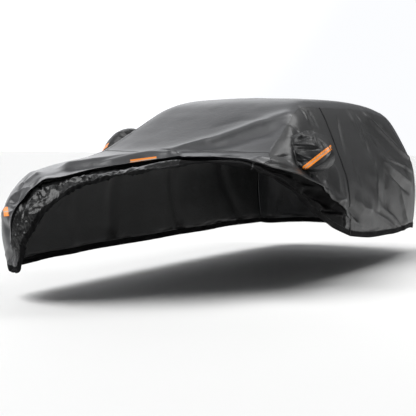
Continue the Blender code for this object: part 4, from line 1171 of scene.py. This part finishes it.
def lining_finish(name, colour):
    """The matt inner side of the coated cloth."""
    finish = Finish(name, Specular_IOR_Level=0.3)
    spot = finish.place()
    broad = finish.noise(spot, scale=3.0)
    fine = finish.noise(spot, scale=60.0, detail=4.0, roughness=0.6)
    finish.feed("Base Color", finish.tint(broad * 0.7 + fine * 0.3, shade(colour, 0.85), shade(colour, 1.15)))
    finish.feed("Roughness", 0.78 + 0.1 * fine)
    finish.feed("Normal", finish.bump(fine, distance=0.0005))
    return finish.material


def tape_finish(name, colour, line_colour, half_line):
    """A reflective tape with a grey line along its middle."""
    finish = Finish(name, Coat_Weight=0.25, Coat_Roughness=0.25)
    flat = finish.add("ShaderNodeUVMap", {"uv_map": "Weave"}, {})
    spot = finish.place()
    grain = finish.noise(spot, scale=420.0, detail=2.0)
    broad = finish.noise(spot, scale=14.0)
    middle = abs(flat.part(1)) < half_line
    orange = finish.tint(broad, shade(colour, 0.86), shade(colour, 1.08))
    grey = finish.tint(grain, shade(line_colour, 0.8), shade(line_colour, 1.2))
    mixed = finish.add("ShaderNodeMix", {"data_type": "RGBA"}, {0: middle, 6: orange, 7: grey}, 2)
    finish.feed("Base Color", mixed)
    finish.feed("Roughness", 0.42 + 0.12 * grain - 0.1 * middle)
    ribs = abs((flat.part(0) * (math.pi / TAPE_RIB)).sine())
    finish.feed("Normal", finish.bump(ribs * 0.6 + grain * 0.4, distance=0.00012))
    return finish.material


def thread_finish(name, colour):
    """Sewing thread."""
    finish = Finish(name, Sheen_Weight=0.1)
    grain = finish.noise(finish.place(), scale=900.0, detail=2.0)
    finish.feed("Base Color", finish.tint(grain, shade(colour, 0.8), shade(colour, 1.2)))
    finish.feed("Roughness", 0.5 + 0.15 * grain)
    return finish.material


def coil_finish(name, colour):
    """The zip's moulded coil."""
    finish = Finish(name, Coat_Weight=0.2, Coat_Roughness=0.2)
    grain = finish.noise(finish.place(), scale=300.0, detail=2.0)
    finish.feed("Base Color", finish.tint(grain, shade(colour, 0.8), shade(colour, 1.3)))
    finish.feed("Roughness", 0.32 + 0.12 * grain)
    return finish.material


def floor_finish(name, colour):
    """A plain pale studio floor."""
    finish = Finish(name, Specular_IOR_Level=0.2)
    patches = finish.noise(finish.place(), scale=0.6, detail=2.0)
    finish.feed("Base Color", finish.tint(patches, shade(colour, 0.985), colour))
    finish.feed("Roughness", 0.7 + 0.05 * patches)
    return finish.material


def material(name):
    """One of the cover's materials, made when it is first asked for."""
    if name not in bpy.data.materials:
        settings = bpy.context.scene.car_cover
        makers = {
            # top cloth and side cloth are the same cloth, in painted light and in painted shade
            "top cloth": lambda: cloth_finish(
                name, settings.top_lit_colour, settings.top_roughness, shine=0.42, coat=0.3
            ),
            "side cloth": lambda: cloth_finish(
                name, settings.side_shaded_colour, settings.side_roughness, shine=0.42, coat=0.08
            ),
            # the turned-up edge's cloth, painted darker as shade because it faces down
            "turned cloth in painted shade": lambda: cloth_finish(name, settings.pocket_and_edge_shade_colour, 0.4, shine=0.3, coat=0.1),
            # the hem band, painted near black as the shade of cloth facing down
            "hem": lambda: cloth_finish(name, settings.hem_shade_colour, 0.75, shine=0.08),
            # the pockets' cloth, painted darker for the shade they lie in
            "pocket cloth": lambda: cloth_finish(
                name, settings.pocket_and_edge_shade_colour, settings.side_roughness, shine=0.28, coat=0.04
            ),
            "lining": lambda: lining_finish(name, settings.lining_colour),
            "zip tape": lambda: cloth_finish(name, settings.zip_colour, 0.6, shine=0.1, weave=0.0009),
            "zip coil": lambda: coil_finish(name, settings.zip_colour),
            "reflective tape": lambda: tape_finish(
                name, settings.tape_colour, settings.line_colour, settings.line_width / 2
            ),
            "thread": lambda: thread_finish(name, settings.thread_colour),
            "studio floor": lambda: floor_finish(name, settings.floor_colour),
        }
        return makers[name]()
    return bpy.data.materials[name]


SURFACE = {}


def cover_cloth():
    """The cover's surface, worked out once for all the pieces."""
    if "cloth" not in SURFACE:
        SURFACE["cloth"] = Cloth(bpy.context.scene.car_cover)
    return SURFACE["cloth"]


def lay(sheet, surface, flat_scale):
    """Lays a flat grid on the cover's surface, and maps its weave."""
    flat = positions(sheet.data)[:, :2].copy()
    add_uv(sheet, flat * flat_scale)
    points, _ = surface(flat)
    set_positions(sheet.data, points - MOUNT)


def cloth_below_roof(name):
    """A sheet below the roof's edge, with its turned-up edge and its hem in darker finishes of their own,
    painted shade where the cloth faces down.
    """
    cloth = cover_cloth()
    settings = bpy.context.scene.car_cover
    node, (first, last), steps, kind, pocket = SHEETS[name]
    sheet = flat_grid(name, (first, 0), (last, HEM), steps, POCKETS[pocket][:2] if pocket else ())
    flat = positions(sheet.data)[:, :2].copy()
    lay(sheet, lambda flat: cloth.below_roof(flat[:, 0], HEM - flat[:, 1]), SHEET_MAP)
    column, row = flat[:, 0], HEM - flat[:, 1]
    # turned marks the pulled-up edge; the turned-up edge and the hem band take the darker finishes, painted
    # shade where the cloth faces down
    turned = gather_at(column)[:, 0] * eased(row - LIP)
    sheet.data.attributes.new("turned", "FLOAT", "POINT").data.foreach_set("value", turned)
    finishes = (f"{kind} cloth", "lining", "turned cloth in painted shade", "lining", "hem", "hem")
    numbers = np.where(turned > TURNED_FROM, finishes.index("turned cloth in painted shade"), 0)
    numbers[(turned > TURNED_FROM) & (column > DARK_FROM)] = finishes.index("hem")
    numbers[cloth.to_hem(column, row) < settings.hem_width] = finishes.index("hem")
    for face in sheet.data.polygons:
        face.material_index = int(numbers[list(face.vertices)].min())
    thicken(sheet, settings.thickness)
    finish_piece(sheet, [node], [material(finish) for finish in finishes])


def pocket_seam(cloth, name, way):
    """Points of a mirror pocket's seam in the directions given, across and up, and the way out at each."""
    (first_column, last_column), (first_row, last_row), _, _, _ = POCKETS[name]
    level = np.abs(way[:, 0]) >= np.abs(way[:, 1])
    across = np.where(level, np.sign(way[:, 0]), math.sqrt(2) * way[:, 0])
    up = np.where(level, math.sqrt(2) * way[:, 1], np.sign(way[:, 1]))
    column = (first_column + last_column + across * (last_column - first_column)) / 2
    row = (first_row + last_row - up * (last_row - first_row)) / 2
    return cloth.below_roof(column, row)


def all_round(count):
    """Directions spread evenly over a whole turn."""
    turn = np.linspace(0, 2 * math.pi, count, endpoint=False)
    return np.stack([np.cos(turn), np.sin(turn)], axis=-1)


def pocket_bag(cloth, name, flat):
    """Points of a pocket's full bag, the way to each across and up from its middle, and how far out it is."""
    across, up = flat[:, 0], flat[:, 1]
    spread = np.stack([across * np.sqrt(1 - up**2 / 2), up * np.sqrt(1 - across**2 / 2)], axis=-1)
    far = np.minimum(np.linalg.norm(spread, axis=1), 1)
    way = np.where(far[:, None] > 1e-9, spread / np.maximum(far, 1e-9)[:, None], (1.0, 0.0))
    seam, _ = pocket_seam(cloth, name, way)
    middle = pocket_seam(cloth, name, all_round(POCKET_RIM))[0].mean(axis=0)
    rise = (1 - far[:, None]) * math.pi / 2
    wide = np.cos(rise) * (1 + POCKET_SWELL * np.sin(2 * rise))
    return middle + (seam - middle) * wide + np.array(POCKETS[name][4]) * np.sin(rise), way, far


def make_pocket(piece_name, node, creases):
    """A mirror pocket: a full bag with its folds, and puckers along its seam."""
    cloth = cover_cloth()
    settings = bpy.context.scene.car_cover
    cells = POCKET_CELLS[node]
    bag = flat_grid(piece_name, (-1, -1), (1, 1), (cells, cells))
    flat = positions(bag.data)[:, :2].copy()
    add_uv(bag, flat * BAG_MAP)
    points, way, far = pocket_bag(cloth, node, flat)
    set_positions(bag.data, points - MOUNT)
    out = np.empty(3 * len(points))
    bag.data.vertex_normals.foreach_get("vector", out)
    out = out.reshape(-1, 3)
    lift = sum(share * noise(points / length, seed) for share, length, seed in POCKET_WAVES)
    around, inward, reach, seed = POCKET_PUCKERS
    puckers = ridges(np.concatenate([way * around, far[:, None] * inward], axis=1), seed)
    lift = settings.wrinkle_height * (lift + puckers * np.exp(-(((1 - far) / reach) ** 2)))
    lift += sum(crest.lift(points, out) for crest in crests_seen(creases, [tree_of(node)]))
    points = points + out * (lift * eased((1 - far) / POCKET_FREE))[:, None]
    set_positions(bag.data, points - MOUNT)
    thicken(bag, settings.thickness)
    finish_piece(bag, [node], [material("pocket cloth"), material("lining")])


def seam_lines(cloth):
    """The cover's seams: the points of each, the way out at each point, and whether it closes on itself."""
    by_row, by_column, around = SEAM_POINTS
    down = np.linspace(0, HEM, by_row * HEM + 1)
    lines = [(*cloth.below_roof(column, down), False) for column in (0, LEFT, REAR, RIGHT)]
    for first, last in ((0, LEFT), (LEFT, REAR), (REAR, RIGHT), (RIGHT, COLUMNS)):
        column = np.linspace(first, last, by_column * (last - first) + 1)
        lines.append((*cloth.below_roof(column, 0.0), False))
    lines += [(*pocket_seam(cloth, name, all_round(around)), True) for name in POCKETS]
    return lines


def hem_line(cloth, first, last):
    """The line of the hem's stitching between two columns."""
    by_column, down = HEM_POINTS
    column = np.linspace(first, last, by_column * (last - first) + 1)
    rows = np.linspace(LIP, HEM, down)
    up = cloth.to_hem(*np.broadcast_arrays(column[:, None], rows))
    target = bpy.context.scene.car_cover.hem_width - HEM_STITCH_INSET
    row = np.array([np.interp(-target, -heights, rows) for heights in up])
    return (*cloth.below_roof(column, row), 0.0, False)


def cloth_trees():
    """Search trees of all the dressed cloths."""
    return [tree_of(name) for name in DRESSED]


def tape_section(width, low, high, steps=9):
    """A flat section: across from one edge to the other at the top, and back at the bottom."""
    sideways = np.linspace(-width / 2, width / 2, steps)
    return [(place, high) for place in sideways] + [(place, low) for place in sideways[::-1]]


def seam_section():
    """The section of a felled seam: flat, with rounded edges."""
    sideways = np.linspace(-1, 1, 7)
    top = [(place * SEAM_WIDTH / 2, SEAM_HEIGHT * (1 - SEAM_EDGE * place**6)) for place in sideways]
    return top + [(SEAM_WIDTH / 2, -SEAM_DEPTH), (-SEAM_WIDTH / 2, -SEAM_DEPTH)]


def length(name, description, default):
    return bpy.props.FloatProperty(
        name=name, description=description, default=default, min=0.0, precision=4, unit="LENGTH"
    )


def share(name, description, default):
    return bpy.props.FloatProperty(
        name=name, description=description, default=default, min=0.0, max=1.0, subtype="FACTOR"
    )


def power(name, description, default):
    return bpy.props.FloatProperty(name=name, description=description, default=default, min=0.0, unit="POWER")


def colour(name, description, default):
    return bpy.props.FloatVectorProperty(
        name=name, description=description, default=default, size=3, min=0.0, max=1.0, subtype="COLOR"
    )


class CarCoverSettings(bpy.types.PropertyGroup):
    """Sizes and colours of the cover and its studio"""

    thickness: length("Cloth", "Thickness of the coated cloth", 0.001)
    wrinkle_height: length("Wrinkles", "Height of the loose waves all over the cloth", 0.0035)
    crumple_height: length("Crumples", "Height of the crumples along the pulled-up edge", 0.008)
    hem_width: length("Hem", "Width of the hem's folded band", 0.052)
    line_width: length("Grey line", "Width of the line along the reflective strips", 0.006)
    # Top and sides are one coated cloth: the top's colour is painted lighter for the light falling on it, the
    # sides' darker as painted shade
    top_lit_colour: colour("Top", "Colour of the bonnet, roof and tail", (0.050, 0.051, 0.054))
    side_shaded_colour: colour("Sides", "Colour of the side panels", (0.034, 0.0345, 0.035))
    # The pockets and the turned-up edge get this darker colour: painted shade, as they lie in shade or face
    # down
    pocket_and_edge_shade_colour: colour("Pockets", "Colour of the mirror pockets", (0.014, 0.0143, 0.015))
    # The hem band's near-black colour is painted shade: the band is the same cloth, facing down
    hem_shade_colour: colour("Hem", "Colour of the hem's band", (0.007, 0.007, 0.0075))
    lining_colour: colour("Lining", "Colour of the cloth's inner side", (0.022, 0.022, 0.023))
    zip_colour: colour("Zip", "Colour of the zip", (0.006, 0.006, 0.007))
    tape_colour: colour("Strips", "Colour of the reflective strips", (0.95, 0.27, 0.012))
    line_colour: colour("Strip lines", "Colour of the line along the reflective strips", (0.36, 0.33, 0.28))
    thread_colour: colour("Thread", "Colour of the stitching", (0.05, 0.05, 0.052))
    floor_colour: colour("Floor", "Colour of the studio floor", (0.82, 0.82, 0.815))
    top_roughness: share("Top roughness", "How matt the bonnet, roof and tail are", 0.42)
    side_roughness: share("Side roughness", "How matt the side panels are", 0.45)
    overhead_light: power("Overhead light", "Strength of the large light above", 110.0)
    key_light: power("Key light", "Strength of the soft light from the front", 3.4)


class CARCOVER_OT_bonnet_cloth(bpy.types.Operator):
    """Lay the cloth of the nose and bonnet, with the crumpled edge that is pulled up from one corner"""

    bl_idname = "car_cover.bonnet_cloth"
    bl_label = "Bonnet cloth"

    def execute(self, context):
        cloth_below_roof("bonnet_cloth")
        return {"FINISHED"}


class CARCOVER_OT_roof_cloth(bpy.types.Operator):
    """Lay the cloth of the screen and roof"""

    bl_idname = "car_cover.roof_cloth"
    bl_label = "Roof cloth"

    def execute(self, context):
        cloth = cover_cloth()
        sheet = flat_grid("roof_cloth", (0, LEFT), (FRONT_COLUMNS, REAR), ROOF_CELLS)
        lay(sheet, lambda flat: cloth.roof(flat[:, 1], 1 - flat[:, 0] / FRONT_COLUMNS), ROOF_MAP)
        thicken(sheet, context.scene.car_cover.thickness)
        finish_piece(sheet, ["roof_panel"], [material("top cloth"), material("lining")])
        return {"FINISHED"}


class CARCOVER_OT_tail_cloth(bpy.types.Operator):
    """Lay the cloth of the tail"""

    bl_idname = "car_cover.tail_cloth"
    bl_label = "Tail cloth"

    def execute(self, context):
        cloth_below_roof("tail_cloth")
        return {"FINISHED"}


class CARCOVER_OT_side_cloths(bpy.types.Operator):
    """Lay the cloth of the two sides, with holes for the mirror pockets"""

    bl_idname = "car_cover.side_cloths"
    bl_label = "Side cloths"

    def execute(self, context):
        for name in ("side_cloth_front", "side_cloth_rear", "side_cloth_right"):
            cloth_below_roof(name)
        return {"FINISHED"}


class CARCOVER_OT_mirror_pockets(bpy.types.Operator):
    """Make the two full mirror pockets"""

    bl_idname = "car_cover.mirror_pockets"
    bl_label = "Mirror pockets"

    def execute(self, context):
        make_pocket("mirror_bag_left", "mirror_pocket_left", POCKET_CREASES)
        make_pocket("mirror_bag_right", "mirror_pocket_right", {})
        return {"FINISHED"}


class CARCOVER_OT_zip(bpy.types.Operator):
    """Make the zip: its tape, and the two rows of its coil"""

    bl_idname = "car_cover.zip"
    bl_label = "Zip"

    def execute(self, context):
        cloth = cover_cloth()
        middle = ZIP + 0.5
        tape = flat_grid("zip_tape", (ZIP, 0), (ZIP + 1, HEM), ZIP_CELLS)
        flat = positions(tape.data)[:, :2].copy()
        add_uv(tape, flat * ZIP_MAP)
        points, out = cloth.below_roof(flat[:, 0], HEM - flat[:, 1])
        crown = ZIP_CROWN * np.exp(-(((flat[:, 0] - middle) / ZIP_CROWN_WIDTH) ** 2))
        set_positions(tape.data, points + out * crown[:, None] - MOUNT)
        thicken(tape, context.scene.car_cover.thickness, lining=False)
        finish_piece(tape, ["zip"], [material("zip tape")])
        trees = cloth_trees()
        down = np.linspace(0, HEM, LINE_POINTS * HEM)
        for side, name in ((-1, "zip_edge_front"), (1, "zip_edge_rear")):
            points, out = evened(*cloth.below_roof(middle + side * 0.5, down), LINE_STEP)
            section = tape_section(ZIP_EDGE, *ZIP_EDGE_SECTION)
            section = [(side * ZIP_EDGE / 2 + place, off) for place, off in section]
            edge = ribbon(name, points, out, section, trees)
            finish_piece(edge, ["zip"], [material("zip tape")])
        points, out = evened(*cloth.below_roof(middle, down), ZIP_PITCH)
        along, across = directions(points, out)
        points = points + out * (ZIP_CROWN + ZIP_SEAT)
        aside = across * ZIP_TOOTH[1] * ZIP_MESH
        spots = [points - aside, points + aside + along * ZIP_PITCH / 2]
        twice = [np.concatenate([value, value]) for value in (along, across, out)]
        coil = copies("zip_coil", small_part(ZIP_TOOTH, ZIP_BEVEL), np.concatenate(spots), *twice)
        finish_piece(coil, ["zip"], [material("zip coil")])
        return {"FINISHED"}


class CARCOVER_OT_seams(bpy.types.Operator):
    """Make the felled seams that join the cloths, and those round the mirror pockets"""

    bl_idname = "car_cover.seams"
    bl_label = "Seams"

    def execute(self, context):
        trees = cloth_trees()
        for number, (points, out, closed) in enumerate(seam_lines(cover_cloth()), 1):
            points, out = evened(points, out, LINE_STEP, closed)
            seam = ribbon(f"seam_{number}", points, out, seam_section(), trees, closed)
            # The light seams take the top cloth's painted light, the rest the turned cloth's painted shade
            finish = "top cloth" if number in LIGHT_SEAMS else "turned cloth in painted shade"
            finish_piece(seam, [], [material(finish)])
        return {"FINISHED"}


class CARCOVER_OT_strips(bpy.types.Operator):
    """Lay the reflective strips on the bonnet and on the mirror pockets"""

    bl_idname = "car_cover.strips"
    bl_label = "Reflective strips"

    def execute(self, context):
        for name, (carrier, first, last, width) in SEEN_STRIPS.items():
            trees = [tree_of(carrier)]
            pixels = [Vector(first).lerp(Vector(last), way) for way in np.linspace(0, 1, STRIP_POINTS)]
            points = np.array([seen_on(trees, pixel) for pixel in pixels])
            self.lay_strip(name, points, -np.array(photo_ray(first)[1]), width, trees)
        for name, (carrier, start, end, width, facing) in HIDDEN_STRIPS.items():
            start, end, facing = (np.array(value) for value in (start, end, facing))
            run = end - start
            facing -= run * (facing @ run) / (run @ run)
            points = np.linspace(start, end, max(8, round(np.linalg.norm(run) / STRIP_STEP)))
            self.lay_strip(name, points, facing / np.linalg.norm(facing), width, [tree_of(carrier)])
        return {"FINISHED"}

    def lay_strip(self, name, points, facing, width, trees):
        out = np.tile(facing, (len(points), 1))
        section = tape_section(width, *STRIP_SECTION)
        tape = ribbon(f"reflective_{name}", points, out, section, trees, reach=STRIP_REACH)
        finish_piece(tape, [name], [material("reflective tape")])


class CARCOVER_OT_stitching(bpy.types.Operator):
    """Sew the seams, the hem and the zip"""

    bl_idname = "car_cover.stitching"
    bl_label = "Stitching"

    def execute(self, context):
        cloth = cover_cloth()
        trees = cloth_trees()
        rows = []
        for points, out, closed in seam_lines(cloth):
            rows += [(points, out, side * SEAM_WIDTH * SEAM_ROWS, closed) for side in (-1, 1)]
        on_seams, on_hem, on_zip = STITCH_HEIGHTS
        sewn = stitches("seam_stitching", rows, trees, on_seams)
        finish_piece(sewn, [], [material("thread")])
        parts = ((0, LEFT), (LEFT, ZIP), (ZIP + 1, REAR), (REAR, RIGHT), (RIGHT, COLUMNS))
        rows = [hem_line(cloth, *part) for part in parts]
        sewn = stitches("hem_stitching", rows, trees, on_hem)
        finish_piece(sewn, [], [material("thread")])
        down = np.linspace(0, HEM, 16 * HEM)
        rows = [(*cloth.below_roof(column, down), 0.0, False) for column in ZIP_STITCH_COLUMNS]
        sewn = stitches("zip_stitching", rows, trees, on_zip)
        finish_piece(sewn, [], [material("thread")])
        return {"FINISHED"}


class CARCOVER_OT_cut_sizes(bpy.types.Operator):
    """Does nothing: it gives no sheet's cut size, what it hangs from, or what is sewn on it"""

    bl_idname = "car_cover.cut_sizes"
    bl_label = "Cut sizes"

    def execute(self, context):
        return {"FINISHED"}


class CARCOVER_OT_studio(bpy.types.Operator):
    """Set up the floor, the soft lights and the camera"""

    bl_idname = "car_cover.studio"
    bl_label = "Studio"

    def execute(self, context):
        settings = context.scene.car_cover
        bpy.ops.object.select_all(action="DESELECT")
        bpy.ops.mesh.primitive_grid_add(
            x_subdivisions=8, y_subdivisions=8, size=FLOOR_SIZE, location=(0, 0, -MOUNT_HEIGHT)
        )
        floor = context.object
        floor.name = floor.data.name = "studio_floor"
        bpy.ops.object.transform_apply(location=True, rotation=False, scale=False)
        floor.data.materials.append(material("studio floor"))
        floor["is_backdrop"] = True
        overhead = bpy.data.lights.new("overhead", "AREA")
        overhead.shape = "RECTANGLE"
        overhead.size, overhead.size_y = OVERHEAD_SIZE
        overhead.energy = settings.overhead_light
        key = bpy.data.lights.new("key", "SUN")
        key.angle = KEY_WIDTH
        key.energy = settings.key_light
        for lamp, place, aim in ((overhead, OVERHEAD_AT, OVERHEAD_AIM), (key, KEY_FROM, (0.0, 0.0, 0.0))):
            stand = bpy.data.objects.new(lamp.name, lamp)
            stand.location = place
            stand.rotation_euler = (Vector(aim) - Vector(place)).to_track_quat("-Z", "Y").to_euler()
            context.scene.collection.objects.link(stand)
        world = bpy.data.worlds.new("studio")
        world.use_nodes = True
        room = Nodes(world.node_tree)
        way = room.add("ShaderNodeTexCoord", {}, {}, "Generated")
        light = 0.0
        for aim, least, most, dim, bright in SKY:
            ahead = room.add("ShaderNodeVectorMath", {"operation": "DOT_PRODUCT"}, [way, aim], "Value")
            light = light + room.add(
                "ShaderNodeMapRange", {"interpolation_type": "SMOOTHSTEP"},
                {"Value": ahead, "From Min": least, "From Max": most, "To Min": dim, "To Max": bright},
            )
        background = world.node_tree.nodes["Background"]
        background.inputs["Color"].default_value = SKY_COLOUR
        world.node_tree.links.new(light.socket, background.inputs["Strength"])
        context.scene.world = world
        context.scene.view_settings.view_transform = "Standard"
        lens = bpy.data.cameras.new("camera")
        lens.lens = CAMERA_LENS * 1000
        lens.sensor_width = CAMERA_SENSOR * 1000
        camera = bpy.data.objects.new("camera", lens)
        camera.location = Vector(CAMERA_AT) - Vector(MOUNT)
        camera.rotation_euler = (math.pi / 2 - CAMERA_PITCH, 0.0, CAMERA_YAW)
        context.scene.collection.objects.link(camera)
        context.scene.camera = camera
        return {"FINISHED"}


OPERATORS = (
    CARCOVER_OT_bonnet_cloth,
    CARCOVER_OT_roof_cloth,
    CARCOVER_OT_tail_cloth,
    CARCOVER_OT_side_cloths,
    CARCOVER_OT_mirror_pockets,
    CARCOVER_OT_zip,
    CARCOVER_OT_seams,
    CARCOVER_OT_strips,
    CARCOVER_OT_stitching,
    CARCOVER_OT_cut_sizes,
    CARCOVER_OT_studio,
)


class CARCOVER_PT_panel(bpy.types.Panel):
    """Lists the cover's sizes, colours and pieces"""

    bl_label = "Car cover"
    bl_idname = "CARCOVER_PT_panel"
    bl_space_type = "VIEW_3D"
    bl_region_type = "UI"
    bl_category = "Car cover"

    def draw(self, context):
        for setting in CarCoverSettings.__annotations__:
            self.layout.prop(context.scene.car_cover, setting)
        for operator in OPERATORS:
            self.layout.operator(operator.bl_idname)


def register():
    for kind in (CarCoverSettings, *OPERATORS, CARCOVER_PT_panel):
        bpy.utils.register_class(kind)
    bpy.types.Scene.car_cover = bpy.props.PointerProperty(type=CarCoverSettings)


def unregister():
    del bpy.types.Scene.car_cover
    for kind in reversed((CarCoverSettings, *OPERATORS, CARCOVER_PT_panel)):
        bpy.utils.unregister_class(kind)


def main():
    register()
    for operator in OPERATORS:
        getattr(bpy.ops.car_cover, operator.bl_idname.split(".")[1])()
    sizes = {"model": CAD_BOUNDS, "dressed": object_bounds()}
    sizes = {name: [[float(value) for value in corner] for corner in box] for name, box in sizes.items()}


if __name__ == "__main__":
    main()
